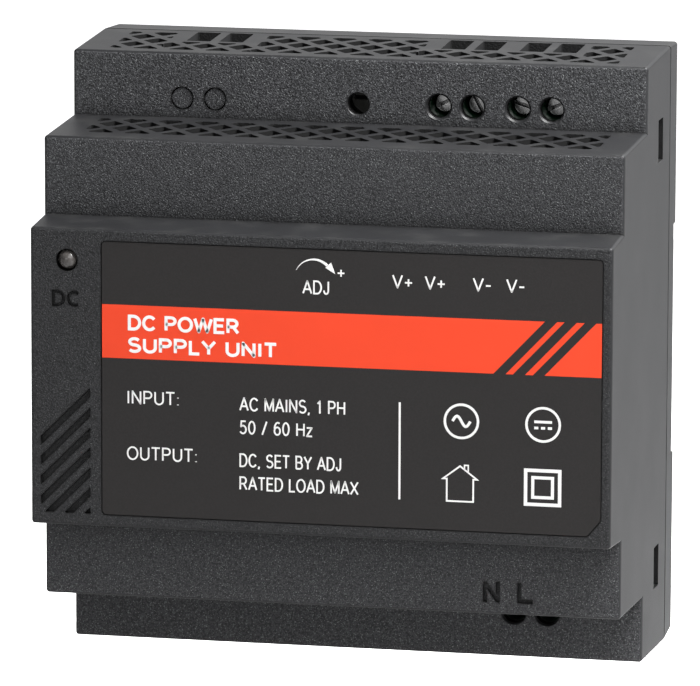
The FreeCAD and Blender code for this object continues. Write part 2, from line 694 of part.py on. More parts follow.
def transformer_pins():
    x, y, z = TRANSFORMER
    pins = []
    for end in (-1, 1):
        for i in range(5):
            pins.append(rod(0.4, (y + 9.9, BOARD_Y[0]), x - 10 + 5 * i, z + end * 12.4))
    return group(pins)


def toroid(outer, inner, y, x, z):
    core = ring(outer, inner, y, x, z)
    return core.makeFillet(0.8, [e for e in core.Edges if e.Length > 10])


def winding_sector(core_outer, core_inner, y, x, z, wire, start, span):
    """A coil round part of a toroid, as one closed solid."""
    thick = ring(core_outer + wire, core_inner - wire, (y[0] - wire, y[1] + wire), x, z)
    gap = 0.05
    hollow = ring(core_outer + gap, core_inner - gap, (y[0] - gap, y[1] + gap), x, z)
    sleeve = thick.cut(hollow)
    reach = core_outer + 20
    steps = max(2, int(span // 60) + 1)
    fan = [(x, y[0] - 5, z)]
    for i in range(steps + 1):
        angle = math.radians(start + span * i / steps)
        fan.append((x + reach * math.cos(angle), y[0] - 5, z + reach * math.sin(angle)))
    return sleeve.common(prism(fan, (0, y[1] - y[0] + 10, 0)))


CHOKE = (-4.0, -26.0)
CHOKE_Y = (-16.5, -9.5)
INDUCTOR = (-12.0, 24.0)
INDUCTOR_Y = (-15.5, -8.5)


def filter_choke_windings():
    return group([winding_sector(8.2, 4.6, CHOKE_Y, *CHOKE, 1.0, start, 140) for start in (20, 200)])


def choke_base(x, z, back):
    plate = rod(8.8, (back + 1.1, BOARD_Y[0]), x, z)
    return plate


def electrolytic(radius, height, x, z):
    """A can with a crimped neck near the board and a rounded top."""
    base = BOARD_Y[0]
    top = base - height
    neck = base - 2.2
    profile = [
        (0, top), (radius - 0.8, top), (radius - 0.25, top + 0.25), (radius, top + 0.9), (radius, neck - 0.9),
        (radius - 0.5, neck), (radius, neck + 0.9), (radius, base - 0.5), (radius - 0.5, base), (0, base),
    ]
    return turned(profile, x, z)


OUTPUT_CAPS = ((31.5, 25.0), (20.5, 25.0), (9.5, 25.0))


def disc_part(radius, thick, x, z, along="X"):
    """A coated disc that stands on the board, its face along X or Z, with a flattened foot."""
    gap = 0.9
    y = BOARD_Y[0] - gap - radius
    if along == "X":
        disc = Part.makeCylinder(radius, thick, Vector(x, y, z - thick / 2), Vector(0, 0, 1))
    else:
        disc = Part.makeCylinder(radius, thick, Vector(x - thick / 2, y, z), Vector(1, 0, 0))
    disc = disc.makeFillet(min(1.2, thick * 0.42), [e for e in disc.Edges if e.Length > 5])
    spread = radius * 0.45
    legs = []
    for side in (-1, 1):
        lx, lz = (x + side * spread, z) if along == "X" else (x, z + side * spread)
        legs.append(rod(0.35, (y + radius * 0.6, BOARD_Y[0]), lx, lz))
    return fuse([disc] + legs)


def film_capacitor():
    return rounded_box((9.0, 27.0), (-20.5, BOARD_Y[0]), (-30.0, -21.5), 0.6)


FUSE_Z = -38.6
FUSE_Y = -9.6


def fuse_tube():
    tube = post_along((1, 0, 0), 2.3, (3.4, FUSE_Y, FUSE_Z), 14.0)
    return tube.cut(post_along((1, 0, 0), 1.7, (0, FUSE_Y, FUSE_Z), 30))


def fuse_caps():
    caps = []
    for start, wall in ((1.6, 1.6), (13.9, 18.0)):
        cup = post_along((1, 0, 0), 2.6, (start, FUSE_Y, FUSE_Z), 5.0)
        cup = cup.cut(post_along((1, 0, 0), 2.33, (start + (0.7 if start < 5 else -1), FUSE_Y, FUSE_Z), 5.3))
        caps.append(cup)
    for x in (4.0, 16.5):
        clip_leg = box((x - 1.2, x + 1.2), (FUSE_Y + 2.6, BOARD_Y[0]), (FUSE_Z - 1.6, FUSE_Z + 1.6))
        caps.append(clip_leg)
    wire = post_along((1, 0, 0), 0.12, (2.35, FUSE_Y, FUSE_Z), 16.1)
    caps.append(wire)
    return group(caps)


def bridge_rectifier():
    body = prism(
        [(-31.0, BOARD_Y[0] - 1.5, -38.4), (-16.5, BOARD_Y[0] - 1.5, -38.4), (-16.5, -19.0, -38.4),
         (-29.2, -19.0, -38.4), (-31.0, -17.2, -38.4)], (0, 0, 4.0))
    legs = [rod(0.45, (BOARD_Y[0] - 1.6, BOARD_Y[0]), -29.0 + 3.5 * i, -36.4) for i in range(4)]
    return fuse([body] + legs)


def heat_sink(plate_x, plate_z, y, fins):
    """An extruded aluminium plate with fins. Each fin is an (x pair, z pair)."""
    parts = [box(plate_x, y, plate_z)]
    parts += [box(fx, y, fz) for fx, fz in fins]
    return fuse(parts)


def primary_heat_sink():
    fins = [((-24.5, -20.3), (z, z + 1.2)) for z in (-8.0, -4.1, -0.2, 3.7, 7.6, 11.3)]
    return heat_sink((-20.5, -18.2), (-8.0, 12.5), (-34.0, BOARD_Y[0]), fins)


def secondary_heat_sink():
    fins = [((x, x + 1.2), (15.2, 19.0)) for x in (20.0, 24.3, 28.6, 32.9, 37.2)]
    return heat_sink((20.0, 38.4), (13.0, 15.4), (-32.0, BOARD_Y[0]), fins)


def power_package(along, face, middle):
    """A TO-220: metal tab with a hole, moulded body and three legs. It stands against a heat sink at face."""
    foot = BOARD_Y[0]
    tab_y, body_y = (foot - 20.0, foot - 4.0), (foot - 13.2, foot - 4.0)
    if along == "X":                       # the tab lies in a plane of constant z, facing down
        tab = box((middle - 5.0, middle + 5.0), tab_y, (face - 1.3, face))
        tab = tab.cut(post_along((0, 0, 1), 1.8, (middle, foot - 16.8, face - 3), 6))
        body = box((middle - 5.0, middle + 5.0), body_y, (face - 4.5, face - 1.3))
        legs = [box((middle + dx - 0.4, middle + dx + 0.4), (foot - 4.0, foot), (face - 3.0, face - 2.5))
                for dx in (-2.54, 0, 2.54)]
    else:
        tab = box((face, face + 1.3), tab_y, (middle - 5.0, middle + 5.0))
        tab = tab.cut(post_along((1, 0, 0), 1.8, (face - 3, foot - 16.8, middle), 6))
        body = box((face + 1.3, face + 4.5), body_y, (middle - 5.0, middle + 5.0))
        legs = [box((face + 2.5, face + 3.0), (foot - 4.0, foot), (middle + dz - 0.4, middle + dz + 0.4))
                for dz in (-2.54, 0, 2.54)]
    return group([tab, body] + legs)


def package_screws():
    """The screws that hold both power packages to their heat sinks, with heads on the packages' side."""
    y = BOARD_Y[0] - 16.8
    first = post_along((1, 0, 0), 2.6, (-16.9, y, 2.0), 1.8)
    second = post_along((0, 0, 1), 2.6, (29.2, y, 9.9), 1.8)
    slots = [box((-15.6, -14), (y - 3, y + 3), (1.7, 2.3)), box((26, 32), (y - 0.3, y + 0.3), (9, 10.4))]
    return group([first.cut(slots[0]), second.cut(slots[1])])


def chip(x, z, height=3.4):
    """A moulded package with rounded-down edges and a pin-one dimple."""
    body = box(x, (BOARD_Y[0] - height, BOARD_Y[0] - 0.4), z)
    body = body.makeChamfer(0.35, [e for e in body.Edges if all(v.Y < BOARD_Y[0] - height + 0.1 for v in e.Vertexes)])
    dimple = rod(0.5, (BOARD_Y[0] - height - 1, BOARD_Y[0] - height + 0.2), x[0] + 1.2, z[1] - 1.2)
    return body.cut(dimple)


def chip_legs(x, z, count, rows_along_z=True):
    """Two rows of bent legs, beside a chip."""
    legs = []
    for i in range(count):
        if rows_along_z:
            middle = z[0] + (z[1] - z[0]) * (i + 0.5) / count
            for low, high in ((x[0] - 0.8, x[0]), (x[1], x[1] + 0.8)):
                legs.append(box((low, high), (BOARD_Y[0] - 2.0, BOARD_Y[0]), (middle - 0.3, middle + 0.3)))
    return legs


def main():
    os.makedirs("parts", exist_ok=True)
    save("front_cover", front_cover())
    save("rear_base", rear_base())
    save("front_label", front_label())
    save("rail_clip", rail_clip())
    save("rail_clip_spring", clip_spring())

    save("output_block_plus", terminal_block(OUTPUT_BLOCKS[0]))
    save("output_block_minus", terminal_block(OUTPUT_BLOCKS[1]))
    save("input_block", mirror_z(terminal_block(INPUT_BLOCK)))
    bars = [contact_bar(x) for block in OUTPUT_BLOCKS for x in poles(block)]
    bars += [mirror_z(contact_bar(x)) for x in poles(INPUT_BLOCK)]
    save("contact_bars", group(bars))
    for i, x in enumerate([x for block in OUTPUT_BLOCKS for x in poles(block)]):
        save(f"output_cage_{i + 1}", clamp_cage(x))
        save(f"output_screw_{i + 1}", clamp_screw(x, POLE_Z, SLOT_ANGLES[i]))
    for i, x in enumerate(poles(INPUT_BLOCK)):
        save(f"input_cage_{i + 1}", mirror_z(clamp_cage(x)))
        save(f"input_screw_{i + 1}", clamp_screw(x, -POLE_Z, SLOT_ANGLES[4 + i]))

    save("trimmer_body", trimmer_body())
    save("trimmer_rotor", trimmer_rotor())
    save("status_lamp", status_lamp())
    save("lamp_spacer", lamp_spacer())
    save("lamp_leads", lamp_leads())

    save("main_board", main_board())
    save("board_screws", group([board_screw(sx * POST[0], sz * POST[1]) for sx in (-1, 1) for sz in (-1, 1)]))
    save("insulating_sheet", insulating_sheet())
    save("transformer_core", transformer_core())
    save("transformer_bobbin", transformer_bobbin())
    save("transformer_winding", transformer_winding())
    save("transformer_pins", transformer_pins())
    save("filter_choke_core", toroid(8.2, 4.6, CHOKE_Y, *CHOKE))
    save("filter_choke_windings", filter_choke_windings())
    save("filter_choke_base", choke_base(*CHOKE, CHOKE_Y[1]))
    save("output_inductor_core", toroid(8.2, 4.2, INDUCTOR_Y, *INDUCTOR))
    save("output_inductor_winding", winding_sector(8.2, 4.2, INDUCTOR_Y, *INDUCTOR, 1.0, -60, 300))
    save("output_inductor_base", choke_base(*INDUCTOR, INDUCTOR_Y[1]))
    save("bulk_capacitor", electrolytic(11.0, 33.0, -27.0, -20.5))
    save("output_capacitors", group([electrolytic(5.0, 22.0, *spot) for spot in OUTPUT_CAPS]))
    save("auxiliary_capacitor", electrolytic(3.0, 11.0, 33.0, -12.8))
    save("film_capacitor", film_capacitor())
    save("suppressor_discs", group([disc_part(4.4, 4.0, 25.0, z) for z in (-8.0, -14.5)]))
    save("surge_arrester", disc_part(6.2, 4.5, 34.5, -23.0, "Z"))
    save("inrush_limiter", disc_part(5.6, 4.2, -7.0, -38.9))
    save("fuse_tube", fuse_tube())
    save("fuse_caps", fuse_caps())
    save("bridge_rectifier", bridge_rectifier())
    save("primary_heat_sink", primary_heat_sink())
    save("secondary_heat_sink", secondary_heat_sink())
    save("switching_transistor", power_package("Z", -18.2, 2.0))
    save("output_rectifier", power_package("X", 13.0, 29.2))
    save("package_screws", package_screws())
    save("optocoupler", fuse([chip((21.4, 26.0), (-2.5, 4.1))] + chip_legs((21.4, 26.0), (-2.5, 4.1), 2)))
    save("controller_chip", fuse([chip((30.3, 36.3), (-7.6, 2.0))] + chip_legs((30.3, 36.3), (-7.6, 2.0), 4)))


main()
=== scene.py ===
import math
import random

import bmesh
import bpy
from mathutils import Matrix, Vector


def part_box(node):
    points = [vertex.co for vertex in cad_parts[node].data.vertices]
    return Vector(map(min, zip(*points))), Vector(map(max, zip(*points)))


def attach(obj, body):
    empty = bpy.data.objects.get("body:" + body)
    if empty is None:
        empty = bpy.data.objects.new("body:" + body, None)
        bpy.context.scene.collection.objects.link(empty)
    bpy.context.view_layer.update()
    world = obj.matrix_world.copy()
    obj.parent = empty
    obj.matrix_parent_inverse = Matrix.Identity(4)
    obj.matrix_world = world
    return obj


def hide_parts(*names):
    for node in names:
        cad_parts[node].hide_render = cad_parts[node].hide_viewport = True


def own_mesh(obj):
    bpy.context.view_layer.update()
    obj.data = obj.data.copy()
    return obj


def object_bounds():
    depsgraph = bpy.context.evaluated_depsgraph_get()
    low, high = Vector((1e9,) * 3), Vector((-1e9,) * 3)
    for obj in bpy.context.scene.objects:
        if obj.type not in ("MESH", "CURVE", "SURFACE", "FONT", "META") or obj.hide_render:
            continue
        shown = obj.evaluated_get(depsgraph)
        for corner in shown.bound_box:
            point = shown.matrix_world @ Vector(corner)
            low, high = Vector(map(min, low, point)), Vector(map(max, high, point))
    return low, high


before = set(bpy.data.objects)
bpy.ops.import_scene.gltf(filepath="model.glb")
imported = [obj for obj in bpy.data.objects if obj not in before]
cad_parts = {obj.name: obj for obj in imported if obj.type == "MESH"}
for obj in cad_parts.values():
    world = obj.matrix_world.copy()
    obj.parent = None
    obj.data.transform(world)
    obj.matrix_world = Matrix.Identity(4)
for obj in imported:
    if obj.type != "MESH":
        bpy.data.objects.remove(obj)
CAD_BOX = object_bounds()
FRONT_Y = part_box("front_label")[0][1]
MM = 0.001

bl_info = {
    "name": "DIN Rail Power Supply",
    "version": (1, 0, 0),
    "blender": (4, 5, 0),
    "location": "View3D > Sidebar > Power Supply",
    "description": "Finishes and small pieces for a stepped DIN rail power supply",
    "category": "Object",
}

# Just behind the case's outer faces, each from outside to inside, for the painted-shade masks of its hidden
# faces and of the label's frame.
BEHIND_LABEL_Y = (FRONT_Y + 1.2 * MM, FRONT_Y + 0.6 * MM)
BEHIND_SHOULDER_Y = (-42.6 * MM, -42.1 * MM)
BEHIND_TERMINAL_Y = (-24.4 * MM, -23.9 * MM)
BEFORE_BACK_Y = (-0.8 * MM, -1.6 * MM)
UNDER_SHOULDER_Z = (34.82 * MM, 34.6 * MM)
UNDER_SIDE_X = (42.95 * MM, 42.8 * MM)
UNDER_TOP_Z = (44.3 * MM, 44.1 * MM)
TOWARDS = (0.80, 0.97)        # how squarely a face looks along an axis to take that axis's finish

# Lettering on the label in millimetres: text, left edge, foot line and width.
HEADING = (("DC POWER", -28.65, 7.25, 17.0), ("SUPPLY UNIT", -28.65, 3.95, 22.6))
SMALL_PRINT = (
    ("INPUT:", -28.75, -3.65, 8.1), ("OUTPUT:", -28.75, -11.95, 10.8),
    ("AC MAINS, 1 PH", -11.85, -3.97, 15.9), ("50 / 60 Hz", -11.9, -7.40, 11.1),
    ("DC, SET BY ADJ", -11.9, -12.28, 15.4), ("RATED LOAD MAX", -11.9, -15.70, 17.9),
    ("ADJ", -2.5, 13.65, 4.15), ("V+", 10.75, 15.0, 3.2), ("V+", 15.55, 15.0, 3.2),
    ("V-", 22.6, 15.0, 2.9), ("V-", 27.5, 15.0, 2.9))
HEADING_CAP, HEADING_STROKE = 2.35, 0.46
SMALL_CAP, SMALL_STROKE = 2.05, 0.24
BAND_GAPS = (58.1, 59.9, 60.95, 62.75, 63.9, 65.6)        # slanted gaps near the band's right end
BAND_LEAN = 7.5 * MM
BAND_INSET = 0.02

# Places of leads from the edges or middles of their parts' boxes.
LEAD_IN = 0.0004
LAMP_LEAD_IN = 0.00025
CAN_LEAD = 0.0025
TAB_LEAD_IN = 0.0018
TAB_LEADS = (-0.00254, 0, 0.00254)
PIN_PITCH = 0.005
BRIDGE_LEAD_IN, BRIDGE_PITCH = 0.002, 0.0035
JOINT_ROOM = 0.0028        # from a small part's middle to a solder joint
CHIP_ROOM = 0.0036         # between the middles of two small parts

CHOKE_RING_INNER, INDUCTOR_RING_INNER = 0.0046, 0.0042
SPRING_STEPS = 240

FLOOR_HALF = 6.0
FLOOR_BELOW = 0.012
FLOOR_GLOW_Y = (-0.065, 0.015)
FLOOR_NEAR_SHADE = 0.50        # of the paper's colour, before the glow begins
# Name, place, target, size and share of the main light's power.
LIGHTS = (
    ("key_light", (0.36, -0.62, 0.42), (0, 0, 0), 0.70, 1.0),
    ("fill_light", (-0.34, -1.10, 0.14), (0, 0, 0), 0.40, 0.26),
    ("back_light", (0.45, 0.80, 0.95), (0, 0, 0), 0.80, 1.35),
    ("upper_light", (0.16, -0.085, 0.28), (0.02, -0.03, 0.03), 0.14, 0.92))
CAMERA_X, CAMERA_Z = 0.21442, 0.18554
CAMERA_AHEAD = 0.98165        # in front of the label's frame
CAMERA_TURN = (12.064, 10.100, 0.194)        # yaw, pitch and roll in degrees


# ------------------------------------------------------------------ sizes and colours a user can change
def colour_prop(name, description, default):
    return bpy.props.FloatVectorProperty(
        name=name, description=description, default=default, size=3, min=0.0, max=1.0, subtype="COLOR"
    )


def length_prop(name, description, default):
    return bpy.props.FloatProperty(
        name=name, description=description, default=default, min=0.0, unit="LENGTH")


def factor_prop(name, description, default):
    return bpy.props.FloatProperty(
        name=name, description=description, default=default, min=0.0, max=1.0, subtype="FACTOR"
    )


class CaseSettings(bpy.types.PropertyGroup):
    plastic: colour_prop("Plastic", "Colour of the textured front faces", (0.0345, 0.0350, 0.0375))
    smooth: colour_prop("Smooth plastic", "Colour of the sides, shelves and base", (0.0125, 0.0127, 0.0137))
    # A painted glint: the bright specks stand in for grains that catch the light.
    speck_glint: colour_prop("Speck", "Colour of the bright specks in the textured faces", (0.26, 0.27, 0.27))
    grain: length_prop("Grain", "Size of one grain of the textured front faces", 0.21 * MM)
    relief: length_prop("Relief", "Height of the textured faces' grain", 0.11 * MM)
    roughness: factor_prop("Roughness", "Roughness of the textured faces", 0.52)
    smooth_roughness: factor_prop("Side roughness", "Roughness of the sides and the base", 0.46)


class LabelSettings(bpy.types.PropertyGroup):
    film: colour_prop("Film", "Ground colour of the label", (0.0185, 0.0170, 0.0167))
    band: colour_prop("Band", "Colour of the wide band", (0.71, 0.0525, 0.0155))
    ink: colour_prop("Ink", "Colour of the lettering", (0.74, 0.735, 0.725))
    ink_thickness: length_prop("Ink thickness", "Height of the print above the film", 0.02 * MM)
    band_low: length_prop("Band foot", "Height of the band's foot above the label's foot", 23.3 * MM)
    band_high: length_prop("Band top", "Height of the band's top above the label's foot", 31.2 * MM)


class TerminalSettings(bpy.types.PropertyGroup):
    block: colour_prop("Block", "Colour of the terminal blocks", (0.006, 0.052, 0.018))
    screw: colour_prop("Screw", "Colour of the plated screws", (0.50, 0.50, 0.50))
    cage: colour_prop("Cage", "Colour of the plated cages", (0.45, 0.45, 0.44))
    bar: colour_prop("Bar", "Colour of the tinned bars", (0.62, 0.58, 0.48))


class LampSettings(bpy.types.PropertyGroup):
    lens: colour_prop("Lens", "Colour of the unlit lens", (0.085, 0.078, 0.074))


class BoardSettings(bpy.types.PropertyGroup):
    mask: colour_prop("Mask", "Colour of the solder mask", (0.010, 0.080, 0.030))
    copper: colour_prop("Copper", "Colour of bare tracks", (0.50, 0.24, 0.10))
    solder: colour_prop("Solder", "Colour of solder", (0.62, 0.62, 0.63))
    joint_radius: length_prop("Joint radius", "Radius of a solder joint's foot", 0.95 * MM)
    joint_height: length_prop("Joint height", "Height of a solder joint", 0.85 * MM)
    chips: bpy.props.IntProperty(
        name="Small parts", description="Number of small parts on the solder side", default=46, min=0)
    seed: bpy.props.IntProperty(name="Seed", description="Seed of the small parts' places", default=7, min=0)


class WindingSettings(bpy.types.PropertyGroup):
    enamel: colour_prop("Enamel", "Colour of enamelled wire", (0.40, 0.12, 0.035))
    tape: colour_prop("Tape", "Colour of the transformer's tape", (0.66, 0.42, 0.03))
    wire: length_prop("Wire", "Diameter of the coil wire", 0.85 * MM)
    choke_turns: bpy.props.IntProperty(
        name="Choke turns", description="Turns in each half of the mains choke", default=11, min=1)
    inductor_turns: bpy.props.IntProperty(
        name="Inductor turns", description="Turns on the output inductor", default=22, min=1)


class ClipSettings(bpy.types.PropertyGroup):
    plastic: colour_prop("Plastic", "Colour of the rail clip", (0.018, 0.018, 0.019))
    wire: length_prop("Wire", "Diameter of the spring's wire", 0.5 * MM)
    radius: length_prop("Radius", "Mean radius of the spring", 1.35 * MM)
    turns: bpy.props.FloatProperty(name="Turns", description="Turns of the spring", default=8.0, min=1.0)


class StageSettings(bpy.types.PropertyGroup):
    floor: colour_prop("Floor", "Colour of the floor", (0.90, 0.90, 0.90))
    glow: bpy.props.FloatProperty(
        name="Glow", description="Brightness of the floor's far part", default=0.75, min=0.0)
    sky: bpy.props.FloatProperty(
        name="Sky", description="Strength of the surrounding light", default=1.0, min=0.0)
    key: bpy.props.FloatProperty(
        name="Key", description="Power of the main light", default=3.8, min=0.0, unit="POWER")
    focal: length_prop("Focal length", "Focal length of the camera", 362.56 * MM)


SETTINGS = {
    "psu_case": CaseSettings,
    "psu_label": LabelSettings,
    "psu_terminal": TerminalSettings,
    "psu_lamp": LampSettings,
    "psu_board": BoardSettings,
    "psu_winding": WindingSettings,
    "psu_clip": ClipSettings,
    "psu_stage": StageSettings,
}


# ------------------------------------------------------------------ node helpers
class Tree:
    """A node tree with short calls for adding and joining nodes."""

    def __init__(self, tree):
        self.tree = tree

    def add(self, kind, inputs=None, **settings):
        made = self.tree.nodes.new(kind)
        for key, value in settings.items():
            setattr(made, key, value)
        for key, value in (inputs or {}).items():
            self.put(made.inputs[key], value)
        return made

    def put(self, socket, value):
        if isinstance(value, bpy.types.NodeSocket):
            self.tree.links.new(value, socket)
        elif isinstance(value, bpy.types.Node):
            self.tree.links.new(value.outputs[0], socket)
        else:
            socket.default_value = value

    def math(self, operation, a, b=0.0, clamp=False):
        made = self.add("ShaderNodeMath", {0: a, 1: b}, operation=operation, use_clamp=clamp)
        return made.outputs[0]

    def times(self, a, b):
        return self.math("MULTIPLY", a, b)

    def plus(self, a, b):
        return self.math("ADD", a, b)

    def minus(self, a, b, clamp=False):
        return self.math("SUBTRACT", a, b, clamp)

    def over(self, a, b):
        return self.math("DIVIDE", a, b)

    def place(self):
        return self.add("ShaderNodeTexCoord").outputs["Object"]

    def split(self, vector):
        """The outputs X, Y and Z of a vector."""
        return self.add("ShaderNodeSeparateXYZ", {0: vector}).outputs

    def ramp(self, value, low, high):
        """0 below low, 1 above high, smooth between."""
        made = self.add(
            "ShaderNodeMapRange", {"Value": value, "From Min": low, "From Max": high},
            interpolation_type="SMOOTHSTEP")
        return made.outputs["Result"]

    def mix(self, factor, a, b):
        """A colour between a and b."""
        made = self.add("ShaderNodeMix", data_type="RGBA")
        self.put(made.inputs["Factor"], factor)
        for socket, colour in ((made.inputs[6], a), (made.inputs[7], b)):
            self.put(socket, colour if isinstance(colour, bpy.types.NodeSocket) else rgba(colour))
        return made.outputs[2]

    def blend(self, factor, a, b):
        """A number between a and b."""
        made = self.add("ShaderNodeMix", data_type="FLOAT")
        self.put(made.inputs["Factor"], factor)
        self.put(made.inputs[2], a)
        self.put(made.inputs[3], b)
        return made.outputs[0]

    def group(self, group, **inputs):
        made = self.add("ShaderNodeGroup", node_tree=group)
        for key, value in inputs.items():
            self.put(made.inputs[key.replace("_", " ").capitalize()], value)
        return made


def rgba(colour):
    return (*tuple(colour)[:3], 1.0)


def new_material(name, **plain):
    """A Principled material with plain values on its shader. Returns (material, Tree, shader)."""
    material = bpy.data.materials.new(name)
    material.use_nodes = True
    tree = Tree(material.node_tree)
    shader = material.node_tree.nodes["Principled BSDF"]
    for key, value in plain.items():
        shader.inputs[key.replace("_", " ")].default_value = value
    return material, tree, shader


def new_group(name, inputs, outputs, kind_of_tree="ShaderNodeTree"):
    """A node group with named sockets. Returns (group, Tree, its inputs, its outputs)."""
    group = bpy.data.node_groups.new(name, kind_of_tree)
    for label, kind, default in inputs:
        socket = group.interface.new_socket(name=label, in_out="INPUT", socket_type="NodeSocket" + kind)
        if default is not None:
            socket.default_value = default
    for label, kind in outputs:
        group.interface.new_socket(name=label, in_out="OUTPUT", socket_type="NodeSocket" + kind)
    tree = Tree(group)
    return group, tree, tree.add("NodeGroupInput").outputs, tree.add("NodeGroupOutput").inputs


def shared_group(name, build):
    return bpy.data.node_groups.get(name) or build(name)


def build_grain(name):
    """Spark-eroded grain: a height, and a mask of the few grains that catch the light."""
    group, t, given, out = new_group(
        name,
        [("Size", "Float", 0.0004), ("Speck share", "Float", 0.3)],
        [("Height", "Float"), ("Speck", "Float"), ("Mottle", "Float")])
    place = t.place()
    scale = t.over(1.0, given["Size"])
    fine = t.add("ShaderNodeTexNoise", {"Vector": place, "Scale": scale, "Detail": 2.5, "Roughness": 0.6})
    coarse = t.add(
        "ShaderNodeTexVoronoi", {"Vector": place, "Scale": t.times(scale, 0.8)}, feature="SMOOTH_F1")
    height = t.minus(fine.outputs[0], t.times(coarse.outputs["Distance"], 0.6))
    t.put(out["Height"], height)
    spark = t.add(
        "ShaderNodeTexNoise", {"Vector": place, "Scale": t.times(scale, 1.3), "Detail": 1.0})
    edge = t.minus(0.80, t.times(given["Speck share"], 0.40))
    t.put(out["Speck"], t.ramp(spark.outputs[0], edge, t.plus(edge, 0.10)))
    broad = t.add("ShaderNodeTexNoise", {"Vector": place, "Scale": 90.0, "Detail": 2.0})
    t.put(out["Mottle"], broad.outputs[0])
    return group


def build_edges(name):
    """Masks for corners: Edge on outer corners, Crevice where surfaces meet or shade each other."""
    group, t, given, out = new_group(
        name,
        [("Radius", "Float", 0.0006), ("Reach", "Float", 0.004)],
        [("Edge", "Float"), ("Crevice", "Float")])
    bevel = t.add("ShaderNodeBevel", {"Radius": given["Radius"]}, samples=4)
    normal = t.add("ShaderNodeNewGeometry").outputs["Normal"]
    dot = t.add("ShaderNodeVectorMath", {0: bevel.outputs[0], 1: normal}, operation="DOT_PRODUCT")
    t.put(out["Edge"], t.ramp(t.minus(1.0, dot.outputs["Value"]), 0.01, 0.2))
    shade = t.add("ShaderNodeAmbientOcclusion", {"Distance": given["Reach"]}, samples=6)
    t.put(out["Crevice"], t.minus(1.0, shade.outputs["AO"], clamp=True))
    return group


def build_dust(name):
    """Light dust that lies on faces turned upwards, in patches."""
    group, t, given, out = new_group(
        name,
        [("Amount", "Float", 0.3)],
        [("Mask", "Float")])
    coords = t.add("ShaderNodeTexCoord")
    patches = t.add("ShaderNodeTexNoise", {"Vector": coords.outputs["Object"], "Scale": 220.0, "Detail": 6.0})
    up = t.split(t.add("ShaderNodeNewGeometry").outputs["Normal"])["Z"]
    lies = t.ramp(up, 0.4, 0.95)
    spots = t.ramp(patches.outputs[0], 0.45, 0.75)
    t.put(out["Mask"], t.times(t.times(lies, spots), given["Amount"]))
    return group


def build_scratches(name):
    """Fine marks that run one way, for drawn, turned or rolled metal."""
    group, t, given, out = new_group(
        name,
        [("Along", "Vector", (1.0, 1.0, 1.0)), ("Amount", "Float", 1.0)],
        [("Height", "Float"), ("Stain", "Float")])
    place = t.place()
    stretched = t.add("ShaderNodeVectorMath", {0: place, 1: given["Along"]}, operation="MULTIPLY")
    lines = t.add("ShaderNodeTexNoise", {"Vector": stretched, "Scale": 1000.0, "Detail": 3.0})
    t.put(out["Height"], t.times(lines.outputs[0], given["Amount"]))
    stain = t.add("ShaderNodeTexNoise", {"Vector": place, "Scale": 420.0, "Detail": 4.0})
    t.put(out["Stain"], t.ramp(stain.outputs[0], 0.35, 0.75))
    return group


def bump(t, shader, height, distance):
    made = t.add("ShaderNodeBump", {"Height": height, "Distance": distance, "Strength": 1.0})
    t.put(shader.inputs["Normal"], made.outputs[0])


def moulded(name, colour, roughness, grain=0.0003, relief=0.000012, dust=0.15, **plain):
    """Moulded plastic or resin with a light grain, paler edges, painted shade in its corners and dust on top.
    """
    material, t, shader = new_material(name, **plain)
    g = t.group(shared_group("Moulded grain", build_grain), Size=grain)
    e = t.group(shared_group("Corner masks", build_edges))
    d = t.group(shared_group("Settled dust", build_dust), Amount=dust)
    colour = Vector(colour)
    tone = t.mix(g.outputs["Mottle"], colour * 0.86, colour * 1.14)
    tone = t.mix(t.times(e.outputs["Edge"], 0.35), tone, colour * 1.5 + Vector((0.02,) * 3))
    # Painted shade in corners and recesses, from the crevice mask.
    tone = t.mix(t.times(e.outputs["Crevice"], 0.6), tone, colour * 0.45)
    tone = t.mix(d.outputs["Mask"], tone, (0.28, 0.27, 0.25))
    t.put(shader.inputs["Base Color"], tone)
    rough = t.blend(g.outputs["Mottle"], roughness * 0.85, min(1.0, roughness * 1.15))
    t.put(shader.inputs["Roughness"], rough)
    bump(t, shader, g.outputs["Height"], relief)
    return material


def metal(name, colour, roughness, along=(1.0, 1.0, 1.0), dull=0.3, relief=0.000006, reach=0.004,
          shade=0.5):
    """Plated or bare metal with fine directional marks, a dull stain, painted highlights on its edges and
    painted shade in its recesses.
    """
    material, t, shader = new_material(name, Metallic=1.0)
    s = t.group(shared_group("Working marks", build_scratches), Along=along)
    e = t.group(shared_group("Corner masks", build_edges), Radius=0.0003, Reach=reach)
    colour = Vector(colour)
    tone = t.mix(t.times(s.outputs["Stain"], dull), colour, colour * 0.55)
    # Painted highlight: edges lighter.
    tone = t.mix(t.times(e.outputs["Edge"], 0.7), tone, colour * 1.5)
    # Painted shade in recesses, weighted by shade.
    tone = t.mix(t.times(t.ramp(e.outputs["Crevice"], 0.05, 0.75), shade), tone, colour * 0.12)
    t.put(shader.inputs["Base Color"], tone)
    t.put(shader.inputs["Roughness"], t.blend(s.outputs["Stain"], roughness, min(1.0, roughness * 1.5)))
    bump(t, shader, s.outputs["Height"], relief)
    return material


def paint_node(node, material):
    """Gives a CAD node its finish."""
    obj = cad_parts[node]
    if not obj.material_slots:
        obj.data.materials.append(material)
    for slot in obj.material_slots:
        slot.material = material


# ------------------------------------------------------------------ mesh helpers
def finished(name, bm, material):
    """A new object at the origin from a bmesh, with its faces turned outwards."""
    bmesh.ops.recalc_face_normals(bm, faces=bm.faces)
    mesh = bpy.data.meshes.new(name)
    bm.to_mesh(mesh)
    bm.free()
    mesh.materials.append(material)
    obj = bpy.data.objects.new(name, mesh)
    bpy.context.scene.collection.objects.link(obj)
    return obj


